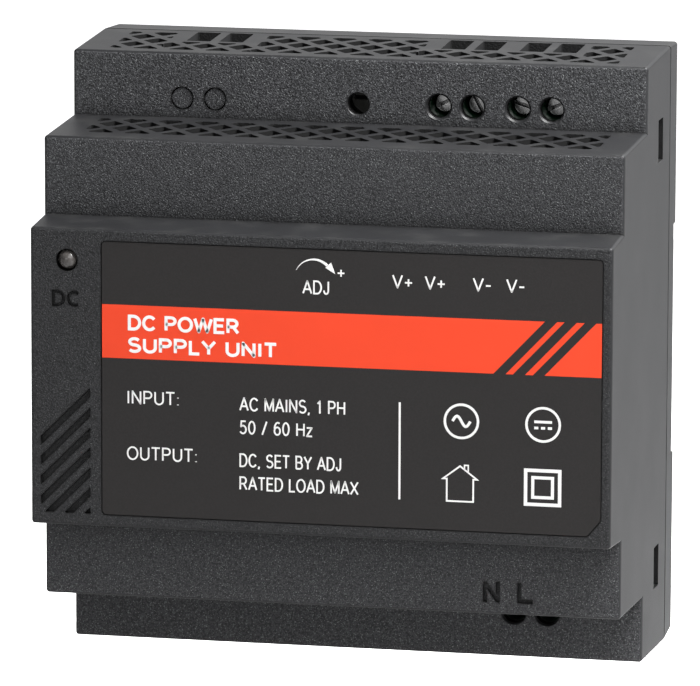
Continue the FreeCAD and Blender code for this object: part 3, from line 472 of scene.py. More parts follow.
def plate(bm, outline, y, thickness):
    """A thin closed plate from (x, z) points, from y forwards by thickness."""
    front = [bm.verts.new((x, y - thickness, z)) for x, z in outline]
    back = [bm.verts.new((x, y, z)) for x, z in outline]
    bm.faces.new(front)
    bm.faces.new(back[::-1])
    count = len(outline)
    for i in range(count):
        bm.faces.new((front[i], back[i], back[(i + 1) % count], front[(i + 1) % count]))


def ribbon(bm, points, width, y, thickness, closed=False):
    """A thin raised line of one width through (x, z) points."""
    points = [Vector(p) for p in points]
    count = len(points)
    left, right = [], []
    for i, point in enumerate(points):
        before = points[i - 1] if closed or i else point
        after = points[(i + 1) % count] if closed or i < count - 1 else point
        a, b = (point - before), (after - point)
        a = a.normalized() if a.length else b.normalized()
        b = b.normalized() if b.length else a
        middle = (a + b).normalized()
        side = Vector((-middle.y, middle.x)) * (width / 2 / max(0.35, middle.dot(a)))
        left.append(point + side)
        right.append(point - side)
    rings = []
    for l, r in zip(left, right):
        rings.append([
            bm.verts.new((l.x, y - thickness, l.y)), bm.verts.new((r.x, y - thickness, r.y)),
            bm.verts.new((r.x, y, r.y)), bm.verts.new((l.x, y, l.y))])
    spans = count if closed else count - 1
    for i in range(spans):
        p, q = rings[i], rings[(i + 1) % count]
        for k in range(4):
            bm.faces.new((p[k], p[(k + 1) % 4], q[(k + 1) % 4], q[k]))
    if not closed:
        bm.faces.new(rings[0])
        bm.faces.new(rings[-1][::-1])


def arc(x, z, radius, start, end, steps, high=None):
    """(x, z) points on an arc, angles in degrees. With high it is part of an oval."""
    turn = [math.radians(start + (end - start) * i / steps) for i in range(steps + 1)]
    return [(x + radius * math.cos(a), z + (high or radius) * math.sin(a)) for a in turn]


P_BOWL = [(0.08, 0), (0.08, 1), (0.42, 1)] + arc(0.42, 0.735, 0.27, 90, -90, 9, 0.265) + [(0.08, 0.47)]

# Each letter is its width and its strokes, on a capital height of 1.
LETTERS = {
    "A": (0.84, [[(0.02, 0), (0.42, 1), (0.82, 0)], [(0.17, 0.33), (0.67, 0.33)]]),
    "B": (0.78, [[(0.08, 0), (0.08, 1), (0.42, 1)]
                 + arc(0.42, 0.755, 0.24, 90, -90, 8, 0.245) + [(0.08, 0.51)],
                 [(0.08, 0.51), (0.44, 0.51)] + arc(0.44, 0.255, 0.28, 90, -90, 8, 0.255) + [(0.08, 0)]]),
    "C": (0.86, [arc(0.46, 0.5, 0.40, 38, 322, 18, 0.5)]),
    "D": (0.84, [[(0.08, 0), (0.08, 1), (0.36, 1)] + arc(0.36, 0.5, 0.42, 90, -90, 12, 0.5) + [(0.08, 0)]]),
    "E": (0.72, [[(0.68, 1), (0.08, 1), (0.08, 0), (0.70, 0)], [(0.08, 0.52), (0.62, 0.52)]]),
    "H": (0.82, [[(0.08, 0), (0.08, 1)], [(0.74, 0), (0.74, 1)], [(0.08, 0.52), (0.74, 0.52)]]),
    "I": (0.24, [[(0.12, 0), (0.12, 1)]]),
    "J": (0.58, [[(0.48, 1), (0.48, 0.28)] + arc(0.27, 0.28, 0.21, 0, -180, 10, 0.28)]),
    "L": (0.64, [[(0.08, 1), (0.08, 0), (0.62, 0)]]),
    "M": (0.96, [[(0.08, 0), (0.08, 1), (0.48, 0.06), (0.88, 1), (0.88, 0)]]),
    "N": (0.82, [[(0.08, 0), (0.08, 1), (0.74, 0), (0.74, 1)]]),
    "O": (0.94, [arc(0.47, 0.5, 0.42, 0, 360, 26, 0.5)]),
    "P": (0.76, [P_BOWL]),
    "R": (0.82, [P_BOWL, [(0.44, 0.47), (0.76, 0)]]),
    "S": (0.76, [arc(0.38, 0.755, 0.29, 28, 270, 12, 0.245) + arc(0.38, 0.255, 0.32, 84, -152, 12, 0.255)]),
    "T": (0.74, [[(0.02, 1), (0.72, 1)], [(0.37, 1), (0.37, 0)]]),
    "U": (0.82, [[(0.08, 1)] + arc(0.41, 0.33, 0.33, 180, 360, 12, 0.33) + [(0.74, 1)]]),
    "V": (0.80, [[(0.02, 1), (0.40, 0), (0.78, 1)]]),
    "W": (1.16, [[(0.02, 1), (0.30, 0), (0.58, 1), (0.86, 0), (1.14, 1)]]),
    "X": (0.80, [[(0.03, 0), (0.77, 1)], [(0.03, 1), (0.77, 0)]]),
    "Y": (0.80, [[(0.02, 1), (0.40, 0.46), (0.78, 1)], [(0.40, 0.46), (0.40, 0)]]),
    "z": (0.58, [[(0.04, 0.68), (0.52, 0.68), (0.04, 0), (0.54, 0)]]),
    "0": (0.68, [arc(0.34, 0.5, 0.28, 0, 360, 22, 0.5)]),
    "1": (0.52, [[(0.12, 0.78), (0.34, 1), (0.34, 0)]]),
    "5": (0.68, [[(0.58, 1), (0.18, 1)] + arc(0.33, 0.32, 0.29, 132, -152, 14, 0.32)]),
    "6": (0.68, [arc(0.35, 0.31, 0.27, 0, 360, 20, 0.31), arc(0.40, 0.42, 0.32, 60, 172, 9, 0.58)]),
    ",": (0.24, [[(0.13, 0.04), (0.06, -0.18)]]),
    ":": (0.24, [[(0.12, 0), (0.12, 0.06)], [(0.12, 0.56), (0.12, 0.62)]]),
    "/": (0.46, [[(0.02, -0.04), (0.44, 1.04)]]),
    "+": (0.70, [[(0.06, 0.42), (0.64, 0.42)], [(0.35, 0.13), (0.35, 0.71)]]),
    "-": (0.50, [[(0.06, 0.42), (0.44, 0.42)]]),
    " ": (0.34, []),
}


def sharp_runs(points):
    """Parts a line where it turns back on itself, where a mitre would grow a spike."""
    runs, run = [], [points[0]]
    for before, point, after in zip(points, points[1:], points[2:]):
        run.append(point)
        if (Vector(point) - Vector(before)).dot(Vector(after) - Vector(point)) < -1e-8:
            runs.append(run)
            run = [point]
    return runs + [run + [points[-1]]]


def lettering(bm, text, x, z, height, width, stroke, y, thickness):
    """Raised letters of one stroke width from x on the line z, in the height and width given."""
    spacing = 0.15
    total = sum(LETTERS[c][0] for c in text) + spacing * (len(text) - 1)
    across, up = (width - stroke) / total, height - stroke
    at = x + stroke / 2
    for letter in text:
        advance, lines = LETTERS[letter]
        for k, line in enumerate(lines):
            points = [(at + px * across, z + stroke / 2 + pz * up) for px, pz in line]
            closed = (Vector(points[0]) - Vector(points[-1])).length < 1e-7
            height_here = thickness * (1 + 0.12 * k)        # each line of a letter at its own height
            if closed:
                ribbon(bm, points[:-1], stroke, y, height_here, True)
                continue
            for run in sharp_runs(points):
                ribbon(bm, run, stroke, y, height_here)
                if run[-1] != points[-1]:
                    plate(bm, arc(*run[-1], stroke / 2, 0, 315, 7), y, height_here)
        at += (advance + spacing) * across


# ------------------------------------------------------------------ geometry node helpers
def geometry_tree(name, inputs):
    """A Geometry Nodes tree that takes and gives a geometry. Returns what new_group returns."""
    geometry = ("Geometry", "Geometry")
    return new_group(name, [(*geometry, None)] + inputs, [geometry], "GeometryNodeTree")


def grown(name, group, values, material, points=None):
    """Runs a Geometry Nodes tree on a mesh of loose points and returns its result as a plain mesh object."""
    seed_mesh = bpy.data.meshes.new(name + "_seed")
    seed_mesh.from_pydata([tuple(p) for p in (points or [(0, 0, 0)])], [], [])
    obj = bpy.data.objects.new(name, seed_mesh)
    bpy.context.scene.collection.objects.link(obj)
    modifier = obj.modifiers.new("Grow", "NODES")
    modifier.node_group = group
    sockets = {s.name: s.identifier for s in group.interface.items_tree if s.in_out == "INPUT"}
    for key, value in {**values, "Material": material}.items():
        modifier[sockets[key]] = value
    bpy.context.view_layer.update()
    mesh = bpy.data.meshes.new_from_object(obj.evaluated_get(bpy.context.evaluated_depsgraph_get()))
    obj.modifiers.remove(modifier)
    obj.data = mesh
    bpy.data.meshes.remove(seed_mesh)
    if not len(mesh.polygons):
        raise RuntimeError(f"{name} came out empty")
    mesh.name = name
    if not mesh.materials:
        mesh.materials.append(material)
    return obj


def ends_in(t, out, geometry, material):
    """Joins a geometry to the output through Realize Instances and Set Material."""
    real = t.add("GeometryNodeRealizeInstances", {0: geometry})
    painted = t.add("GeometryNodeSetMaterial", {"Geometry": real.outputs[0], "Material": material})
    t.put(out[0], painted.outputs[0])


# ------------------------------------------------------------------ operators
class PSU_OT_case(bpy.types.Operator):
    """Gives the front cover and the rear base their moulded finish, with painted glints and painted shade"""

    bl_idname = "psu.case"
    bl_label = "Case"

    def execute(self, context):
        s = context.scene.psu_case
        material, t, shader = new_material("case_plastic", Specular_IOR_Level=0.26)
        normal = t.split(t.add("ShaderNodeNewGeometry").outputs["True Normal"])
        facing = t.ramp(t.math("ABSOLUTE", normal["Y"]), *TOWARDS)
        sideways = t.ramp(t.math("ABSOLUTE", normal["X"]), *TOWARDS)
        g = t.group(shared_group("Moulded grain", build_grain), Size=s.grain, Speck_share=0.45)
        e = t.group(shared_group("Corner masks", build_edges), Radius=0.0005, Reach=0.005)
        d = t.group(shared_group("Settled dust", build_dust), Amount=0.10)
        near = t.group(shared_group("Corner masks", build_edges), Radius=0.0003, Reach=0.0011)
        plain, smooth = Vector(s.plastic), Vector(s.smooth)
        sheet = t.mix(g.outputs["Mottle"], smooth * 0.80, smooth * 1.25)
        grains = t.ramp(g.outputs["Height"], 0.06, 0.44)
        rough_face = t.mix(grains, plain * 0.45, plain * 1.35)
        # Painted glints: bright specks mixed into the textured faces' colour.
        rough_face = t.mix(t.times(g.outputs["Speck"], 0.55), rough_face, s.speck_glint)
        place = t.split(t.place())
        depth = place["Y"]
        wide, tall = t.math("ABSOLUTE", place["X"]), t.math("ABSOLUTE", place["Z"])
        # Painted shade: the faces at the label's frame are darkened by half.
        label_frame_shade = t.ramp(depth, *BEHIND_LABEL_Y)
        rough_face = t.mix(t.times(label_frame_shade, 0.50), rough_face, plain * 0.12)
        tone = t.mix(facing, sheet, rough_face)
        # Painted dark reflection: the outer edges are darkened.
        tone = t.mix(t.times(e.outputs["Edge"], 0.85), tone, plain * 0.15)
        # Painted shade in corners, recesses and holes, from a wide and a tight crevice mask.
        shaded = t.ramp(e.outputs["Crevice"], 0.18, 0.70)
        tone = t.mix(t.times(shaded, 0.90), tone, plain * 0.08)
        tone = t.mix(t.times(near.outputs["Crevice"], 0.40), tone, plain * 0.10)

        # Painted shade: faces inside the case, seen through its holes, are kept dark.
        under_step = t.times(t.ramp(depth, *BEHIND_SHOULDER_Y), t.ramp(tall, *UNDER_SHOULDER_Z))
        deep = t.times(t.ramp(depth, *BEHIND_TERMINAL_Y), t.ramp(depth, *BEFORE_BACK_Y))
        inner_wall = t.times(t.times(deep, t.ramp(wide, *UNDER_SIDE_X)), t.ramp(tall, *UNDER_TOP_Z))
        inside = t.times(t.math("MAXIMUM", deep, under_step), t.ramp(normal["Y"], 0.0, -0.5))
        inside = t.math("MAXIMUM", inside, inner_wall)
        tone = t.mix(t.times(inside, 0.92), tone, plain * 0.03)
        tone = t.mix(d.outputs["Mask"], tone, (0.10, 0.10, 0.095))
        t.put(shader.inputs["Base Color"], tone)
        smooth_rough = t.plus(t.times(sideways, 0.24), s.smooth_roughness)
        rough = t.blend(facing, smooth_rough, s.roughness)
        rough = t.plus(rough, t.times(t.minus(g.outputs["Mottle"], 0.5), 0.12))
        t.put(shader.inputs["Roughness"], t.blend(inside, rough, 0.95))
        strength = t.blend(facing, 0.12, 1.0)
        bump(t, shader, t.times(g.outputs["Height"], strength), s.relief)
        for node in ("front_cover", "rear_base"):
            paint_node(node, material)
        return {"FINISHED"}


class PSU_OT_label(bpy.types.Operator):
    """Prints the front label: film, band, lettering and symbols"""

    bl_idname = "psu.label"
    bl_label = "Front label"

    def film(self, s):
        material, t, shader = new_material("label_film", Specular_IOR_Level=0.24)
        g = t.group(shared_group("Moulded grain", build_grain), Size=0.00022, Speck_share=0.22)
        ground = Vector(s.film)
        tone = t.mix(g.outputs["Mottle"], ground * 0.92, ground * 1.08)
        tone = t.mix(t.ramp(g.outputs["Height"], 0.05, 0.45), ground * 0.86, tone)
        # Painted glints: specks lighter than the film.
        tone = t.mix(t.times(g.outputs["Speck"], 0.30), tone, ground * 2.2)
        t.put(shader.inputs["Base Color"], tone)
        t.put(shader.inputs["Roughness"], t.blend(g.outputs["Mottle"], 0.50, 0.60))
        bump(t, shader, g.outputs["Height"], 0.000008)
        return material

    def ink(self, name, colour):
        material, t, shader = new_material(name, Specular_IOR_Level=0.25)
        g = t.group(shared_group("Moulded grain", build_grain), Size=0.00022, Speck_share=0.22)
        colour = Vector(colour)
        t.put(shader.inputs["Base Color"], t.mix(g.outputs["Mottle"], colour * 0.95, colour * 1.05))
        t.put(shader.inputs["Roughness"], t.blend(g.outputs["Speck"], 0.50, 0.40))
        bump(t, shader, g.outputs["Height"], 0.000006)
        return material

    def execute(self, context):
        s = context.scene.psu_label
        low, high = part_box("front_label")
        y, thick = low[1], s.ink_thickness
        x0, x1, z0 = low[0], high[0], low[2]
        paint_node("front_label", self.film(s))

        bm = bmesh.new()
        foot, top = z0 + s.band_low, z0 + s.band_high
        edges = [x0 + v * MM for v in (BAND_INSET, *BAND_GAPS, (x1 - x0) / MM - BAND_INSET)]
        for left, right in zip(edges[::2], edges[1::2]):
            top_left = left if left == edges[0] else left + BAND_LEAN
            top_right = right if right == edges[-1] else right + BAND_LEAN
            plate(bm, [(left, foot), (right, foot), (top_right, top), (top_left, top)], y, thick)
        band = finished("label_band", bm, self.ink("band_ink", s.band))

        bm = bmesh.new()
        for lines, cap, stroke, on in (
                (HEADING, HEADING_CAP, HEADING_STROKE, y - thick), (SMALL_PRINT, SMALL_CAP, SMALL_STROKE, y)):
            for text, x, z, width in lines:
                lettering(bm, text, x * MM, z * MM, cap * MM, width * MM, stroke * MM, on, thick)
        rule = ((11.85, -16.0), (12.15, -16.0), (12.15, -1.7), (11.85, -1.7))
        plate(bm, [(px * MM, pz * MM) for px, pz in rule], y, thick)
        self.symbols(bm, y, thick)
        letters = finished("label_lettering", bm, self.ink("white_ink", s.ink))
        for piece in (band, letters):
            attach(piece, "case")
        return {"FINISHED"}

    def symbols(self, bm, y, thick):
        """The adjuster's arrow, and four plain symbols: alternating, direct, indoor and double insulated."""
        def line(points, width, closed=False):
            ribbon(bm, [(px * MM, pz * MM) for px, pz in points], width * MM, y, thick, closed)

        cx, cz, radius, steps = -0.7, 15.95, 2.95, 16
        outer, inner = arc(cx, cz, radius, 157, 46, steps), []
        for i, (px, pz) in enumerate(outer):
            inward = 1 - (0.05 + 0.36 * i / steps) / radius
            inner.append((cx + (px - cx) * inward, cz + (pz - cz) * inward))
        tail = [(px * MM, pz * MM) for px, pz in outer + inner[::-1]]
        for i in range(steps):
            plate(bm, [tail[i], tail[i + 1], tail[2 * steps - i], tail[2 * steps + 1 - i]], y, thick)
        head = ((2.38, 16.75), (1.78, 18.42), (0.92, 17.62))
        plate(bm, [(px * MM, pz * MM) for px, pz in head], y, thick * 1.1)
        line([(2.75, 16.9), (3.75, 16.9)], 0.22)
        ribbon(bm, [(3.25 * MM, 16.4 * MM), (3.25 * MM, 17.4 * MM)], 0.22 * MM, y, thick * 1.1)

        line(arc(21.1, -4.1, 2.45, 0, 345, 32), 0.36, closed=True)
        line([(19.8 + 2.6 * i / 16, -4.1 + 0.75 * math.sin(2 * math.pi * i / 16)) for i in range(17)], 0.40)
        line(arc(33.1, -4.1, 2.45, 0, 345, 32), 0.36, closed=True)
        line([(31.8, -3.7), (34.4, -3.7)], 0.38)
        for left in (31.8, 32.8, 33.8):
            line([(left, -4.6), (left + 0.6, -4.6)], 0.38)

        house = [(19.0, -15.9), (22.9, -15.9), (22.9, -12.6), (23.45, -12.6), (20.95, -10.7), (18.45, -12.6),
                 (19.0, -12.6)]
        line(house, 0.24, closed=True)
        line([(21.6, -11.2), (21.6, -10.55), (22.15, -10.55), (22.15, -11.6)], 0.2)
        for half, width in ((2.5, 0.5), (1.45, 0.45)):
            line([(33.1 - half, -13.35 - half), (33.1 + half, -13.35 - half), (33.1 + half, -13.35 + half),
                  (33.1 - half, -13.35 + half)], width, closed=True)


class PSU_OT_terminals(bpy.types.Operator):
    """Finishes the terminal blocks, their screws, cages and contact bars"""

    bl_idname = "psu.terminals"
    bl_label = "Terminals"

    def execute(self, context):
        s = context.scene.psu_terminal
        block = moulded("terminal_plastic", s.block, 0.38, grain=0.00035, dust=0.1)
        screw = metal("screw_plating", s.screw, 0.16, along=(1.0, 0.2, 1.0), dull=0.50, relief=0.000012,
                      reach=0.0008, shade=1.0)
        cage = metal("cage_plating", s.cage, 0.34, along=(0.3, 1.0, 1.0))
        bar = metal("bar_tinning", s.bar, 0.36, along=(1.0, 1.0, 0.2))
        for node in ("output_block_plus", "output_block_minus", "input_block"):
            paint_node(node, block)
        for kind, count in (("output", 4), ("input", 2)):
            for i in range(1, count + 1):
                paint_node(f"{kind}_screw_{i}", screw)
                paint_node(f"{kind}_cage_{i}", cage)
        paint_node("contact_bars", bar)
        paint_node("trimmer_body", moulded("trimmer_plastic", (0.016, 0.018, 0.020), 0.4))
        # Painted shade: the rotor's colour is darkened to the shade in the adjuster's hole.
        paint_node("trimmer_rotor", moulded("rotor_plastic", (0.030, 0.030, 0.028), 0.45))
        return {"FINISHED"}


class PSU_OT_lamp(bpy.types.Operator):
    """Finishes the unlit status lamp: milky lens, spacer and leads"""

    bl_idname = "psu.lamp"
    bl_label = "Status lamp"

    def execute(self, context):
        s = context.scene.psu_lamp
        material, t, shader = new_material("lamp_lens", Transmission_Weight=0.35, IOR=1.5)
        place = t.place()
        cloud = t.add("ShaderNodeTexNoise", {"Vector": place, "Scale": 900.0, "Detail": 3.0})
        colour = Vector(s.lens)
        t.put(shader.inputs["Base Color"], t.mix(cloud.outputs[0], colour * 0.85, colour * 1.15))
        t.put(shader.inputs["Roughness"], t.blend(cloud.outputs[0], 0.14, 0.26))
        bump(t, shader, cloud.outputs[0], 0.000006)
        paint_node("status_lamp", material)
        paint_node("lamp_spacer", moulded("spacer_plastic", (0.02, 0.02, 0.02), 0.5))
        paint_node("lamp_leads", metal("lead_tinning", (0.6, 0.6, 0.6), 0.35))
        return {"FINISHED"}


class PSU_OT_board(bpy.types.Operator):
    """Finishes the board and adds its solder joints and small solder-side parts"""

    bl_idname = "psu.board"
    bl_label = "Board"

    def mask(self, s):
        material, t, shader = new_material("solder_mask")
        place = t.place()
        cells = t.add("ShaderNodeTexVoronoi", {"Vector": place, "Scale": 150.0, "Randomness": 0.6},
                      distance="CHEBYCHEV")
        track = t.ramp(cells.outputs["Distance"], 0.30, 0.34)
        weave = t.add("ShaderNodeTexChecker", {"Vector": place, "Scale": 1800.0})
        mask = Vector(s.mask)
        tone = t.mix(track, mask * 1.5, mask * 0.85)
        tone = t.mix(t.times(weave.outputs["Fac"], 0.12), tone, mask * 0.5)
        t.put(shader.inputs["Base Color"], tone)
        t.put(shader.inputs["Roughness"], t.blend(track, 0.22, 0.34))
        bump(t, shader, t.minus(1.0, track), 0.000035)
        return material

    def joints_tree(self):
        group, t, given, out = geometry_tree("Solder joints", [
            ("Radius", "Float", 0.0009), ("Height", "Float", 0.0008),
            ("Material", "Material", None)])
        cone = t.add("GeometryNodeMeshCone", {
            "Vertices": 14, "Side Segments": 3, "Radius Top": t.times(given["Radius"], 0.30),
            "Radius Bottom": given["Radius"], "Depth": given["Height"]})
        place = t.add("GeometryNodeInputPosition").outputs[0]
        parts = t.add("ShaderNodeSeparateXYZ", {0: place})
        share = t.over(parts.outputs["Z"], given["Height"])
        waist = t.math("SINE", t.times(share, math.pi))
        pull = t.minus(1.0, t.times(waist, 0.30))
        narrowed = t.add("ShaderNodeCombineXYZ", {
            0: t.times(parts.outputs["X"], pull), 1: t.times(parts.outputs["Y"], pull),
            2: parts.outputs["Z"]})
        shaped = t.add("GeometryNodeSetPosition", {
            "Geometry": cone.outputs["Mesh"], "Position": narrowed.outputs[0]})
        smooth = t.add("GeometryNodeSetShadeSmooth", {0: shaped.outputs[0]})
        placed = t.add("GeometryNodeInstanceOnPoints", {
            "Points": given["Geometry"], "Instance": smooth.outputs[0],
            "Rotation": (math.radians(-90), 0.0, 0.0)})
        ends_in(t, out, placed.outputs[0], given["Material"])
        return group

    def chips_tree(self):
        group, t, given, out = geometry_tree("Small parts", [
            ("Length", "Float", 0.002), ("Width", "Float", 0.00125),
            ("Height", "Float", 0.0006), ("Seed", "Int", 1),
            ("Material", "Material", None)])
        size = t.add("ShaderNodeCombineXYZ", {
            0: given["Length"], 1: given["Height"], 2: given["Width"]})
        body = t.add("GeometryNodeMeshCube", {"Size": size.outputs[0]})
        lifted = t.add("GeometryNodeTransform", {
            "Geometry": body.outputs[0],
            "Translation": t.add("ShaderNodeCombineXYZ", {
                0: 0.0, 1: t.times(given["Height"], 0.5), 2: 0.0}).outputs[0]})
        pick = t.add("FunctionNodeRandomValue", data_type="INT")
        t.put(pick.inputs[4], 0)
        t.put(pick.inputs[5], 1)
        t.put(pick.inputs["Seed"], given["Seed"])
        turn = t.add("ShaderNodeCombineXYZ", {1: t.times(pick.outputs[2], math.pi / 2)})
        placed = t.add("GeometryNodeInstanceOnPoints", {
            "Points": given["Geometry"], "Instance": lifted.outputs[0], "Rotation": turn.outputs[0]})
        ends_in(t, out, placed.outputs[0], given["Material"])
        return group

    def pin_places(self):
        """Where leads come through the board, as (x, z)."""
        def box(node):
            (x0, _, z0), (x1, _, z1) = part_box(node)
            return x0, x1, z0, z1, (x0 + x1) / 2, (z0 + z1) / 2

        x0, _, z0, z1, _, _ = box("transformer_pins")
        spots = [(x0 + LEAD_IN + i * PIN_PITCH, z) for i in range(5) for z in (z0 + LEAD_IN, z1 - LEAD_IN)]
        x0, x1, _, _, _, z = box("lamp_leads")
        spots += [(x0 + LAMP_LEAD_IN, z), (x1 - LAMP_LEAD_IN, z)]
        for node in ("bulk_capacitor", "auxiliary_capacitor", "film_capacitor"):
            *_, x, z = box(node)
            spots += [(x - CAN_LEAD, z), (x + CAN_LEAD, z)]
        _, x1, _, _, _, z = box("switching_transistor")
        spots += [(x1 - TAB_LEAD_IN, z + d) for d in TAB_LEADS]
        _, _, z0, _, x, _ = box("output_rectifier")
        spots += [(x + d, z0 + TAB_LEAD_IN) for d in TAB_LEADS]
        x0, _, _, _, _, z = box("bridge_rectifier")
        spots += [(x0 + BRIDGE_LEAD_IN + BRIDGE_PITCH * i, z) for i in range(4)]
        for node, rows in (("optocoupler", 2), ("controller_chip", 4)):
            x0, x1, z0, z1, _, _ = box(node)
            pitch = (z1 - z0) / rows
            spots += [(x, z0 + pitch * (i + 0.5)) for i in range(rows) for x in (x0 + LEAD_IN, x1 - LEAD_IN)]
        return spots

    def execute(self, context):
        s = context.scene.psu_board
        paint_node("main_board", self.mask(s))
        solder = metal("solder", s.solder, 0.26, dull=0.4, relief=0.000012)
        low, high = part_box("main_board")
        back = high[1]
        spots = self.pin_places()
        points = [(x, back, z) for x, z in spots]
        made = grown("solder_joints", self.joints_tree(), {
            "Radius": s.joint_radius, "Height": s.joint_height}, solder, points)
        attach(made, "case")

        keep = random.Random(s.seed)
        places = []
        while len(places) < s.chips:
            x = keep.uniform(low[0] + 0.006, high[0] - 0.006)
            z = keep.uniform(low[2] + 0.008, high[2] - 0.008)
            clear = all(math.hypot(x - px, z - pz) > JOINT_ROOM for px, pz in spots)
            if clear and all(math.hypot(x - p[0], z - p[2]) > CHIP_ROOM for p in places):
                places.append((x, back, z))
        half = len(places) // 2
        tree = self.chips_tree()
        resistor = moulded("resistor_ceramic", (0.03, 0.03, 0.032), 0.35)
        capacitor = moulded("capacitor_ceramic", (0.30, 0.21, 0.12), 0.42)
        for name, material, few in (("small_resistors", resistor, places[:half]),
                                    ("small_capacitors", capacitor, places[half:])):
            made = grown(name, tree, {"Length": 0.0020, "Width": 0.00125, "Height": 0.00060, "Seed": s.seed},
                         material, few)
            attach(made, "case")
        paint_node("board_screws", metal("zinc_plating", (0.55, 0.55, 0.52), 0.3, relief=0.00001))
        paint_node("insulating_sheet", moulded("insulating_film", (0.55, 0.52, 0.42), 0.42, relief=0.000006))
        return {"FINISHED"}


class PSU_OT_windings(bpy.types.Operator):
    """Finishes the transformer and winds wire on the two ring cores"""

    bl_idname = "psu.windings"
    bl_label = "Wound parts"

    def turns_tree(self):
        """Loops of wire spaced round part of a ring core. The core's axis is along Y."""
        group, t, given, out = geometry_tree("Ring winding", [
            ("Ring radius", "Float", 0.0064), ("Half width", "Float", 0.0022),
            ("Half height", "Float", 0.0039), ("Wire", "Float", 0.0008),
            ("Turns", "Int", 10), ("Start", "Float", 0.0), ("Span", "Float", 2.4),
            ("Centre", "Vector", (0.0, 0.0, 0.0)), ("Material", "Material", None)])
        loop = t.add("GeometryNodeCurvePrimitiveQuadrilateral", mode="RECTANGLE")
        t.put(loop.inputs["Width"], t.times(given["Half width"], 2.0))
        t.put(loop.inputs["Height"], t.times(given["Half height"], 2.0))
        turned = t.add("GeometryNodeFilletCurve", {
            "Curve": loop.outputs[0], "Radius": t.times(given["Wire"], 0.9)}, mode="POLY")
        t.put(turned.inputs["Count"], 4)
        section = t.add("GeometryNodeCurvePrimitiveCircle", {
            "Resolution": 8, "Radius": t.times(given["Wire"], 0.5)})
        wire = t.add("GeometryNodeCurveToMesh", {
            "Curve": turned.outputs[0], "Profile Curve": section.outputs["Curve"]})
        smooth = t.add("GeometryNodeSetShadeSmooth", {0: wire.outputs[0]})
        line = t.add("GeometryNodeMeshLine", {"Count": given["Turns"]})
        index = t.add("GeometryNodeInputIndex").outputs[0]
        share = t.over(index, t.minus(given["Turns"], 1.0))
        angle = t.plus(given["Start"], t.times(share, given["Span"]))
        spot = t.add("ShaderNodeCombineXYZ", {
            0: t.times(t.math("COSINE", angle), given["Ring radius"]), 1: 0.0,
            2: t.times(t.math("SINE", angle), given["Ring radius"])})
        moved = t.add("ShaderNodeVectorMath", {0: spot.outputs[0], 1: given["Centre"]})
        set_at = t.add("GeometryNodeSetPosition", {"Geometry": line.outputs[0], "Position": moved.outputs[0]})
        turn = t.add("ShaderNodeCombineXYZ", {1: t.times(angle, -1.0)})
        placed = t.add("GeometryNodeInstanceOnPoints", {
            "Points": set_at.outputs[0], "Instance": smooth.outputs[0], "Rotation": turn.outputs[0]})
        ends_in(t, out, placed.outputs[0], given["Material"])
        return group

    def wind(self, name, core, replaced, tree, turns, spans, wire, inner, material):
        """One winding of a ring core, from its spans in degrees and the core's inner radius."""
        low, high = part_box(core)
        centre = [(a + b) / 2 for a, b in zip(low, high)]
        outer, half_height = (high[0] - low[0]) / 2, (high[1] - low[1]) / 2
        ring, half = (outer + inner) / 2, (outer - inner) / 2
        pieces = []
        for start, span in spans:
            pieces.append(grown(name, tree, {
                "Ring radius": ring, "Half width": half + wire * 0.55,
                "Half height": half_height + wire * 0.55,
                "Wire": wire, "Turns": turns, "Start": math.radians(start), "Span": math.radians(span),
                "Centre": centre}, material))
        if len(pieces) > 1:
            bm = bmesh.new()
            for piece in pieces:
                bm.from_mesh(piece.data)
            bm.to_mesh(pieces[0].data)
            bm.free()
            for piece in pieces[1:]:
                bpy.data.objects.remove(piece)
        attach(pieces[0], "case")
        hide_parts(replaced)

    def execute(self, context):
        s = context.scene.psu_winding
        ferrite = moulded("ferrite", (0.030, 0.030, 0.032), 0.55, grain=0.0002, relief=0.00002)
        paint_node("transformer_core", ferrite)
        phenolic = moulded("phenolic", (0.018, 0.018, 0.018), 0.42)
        for node in ("transformer_bobbin", "filter_choke_base", "output_inductor_base"):
            paint_node(node, phenolic)
        paint_node("transformer_pins", metal("pin_tinning", (0.6, 0.6, 0.6), 0.35))
        tape, t, shader = new_material("winding_tape", Coat_Weight=0.4, Coat_Roughness=0.15)
        place = t.place()
        wraps = t.add("ShaderNodeTexWave", {"Vector": place, "Scale": 55.0, "Distortion": 1.5, "Detail": 2.0},
                      bands_direction="Z")
        colour = Vector(s.tape)
        t.put(shader.inputs["Base Color"], t.mix(wraps.outputs["Fac"], colour * 0.8, colour * 1.1))
        t.put(shader.inputs["Roughness"], t.blend(wraps.outputs["Fac"], 0.25, 0.4))
        bump(t, shader, wraps.outputs["Fac"], 0.00006)
        paint_node("transformer_winding", tape)
        paint_node("filter_choke_core", moulded("green_coating", (0.02, 0.10, 0.035), 0.4))
        paint_node("output_inductor_core", moulded("yellow_coating", (0.55, 0.42, 0.05), 0.4))
        copper = metal("enamelled_wire", s.enamel, 0.2, dull=0.35)
        tree = self.turns_tree()
        self.wind("choke_wire", "filter_choke_core", "filter_choke_windings", tree, s.choke_turns,
                  ((25, 130), (205, 130)), s.wire, CHOKE_RING_INNER, copper)
        self.wind("inductor_wire", "output_inductor_core", "output_inductor_winding", tree, s.inductor_turns,
                  ((-57, 294),), s.wire, INDUCTOR_RING_INNER, copper)
        return {"FINISHED"}


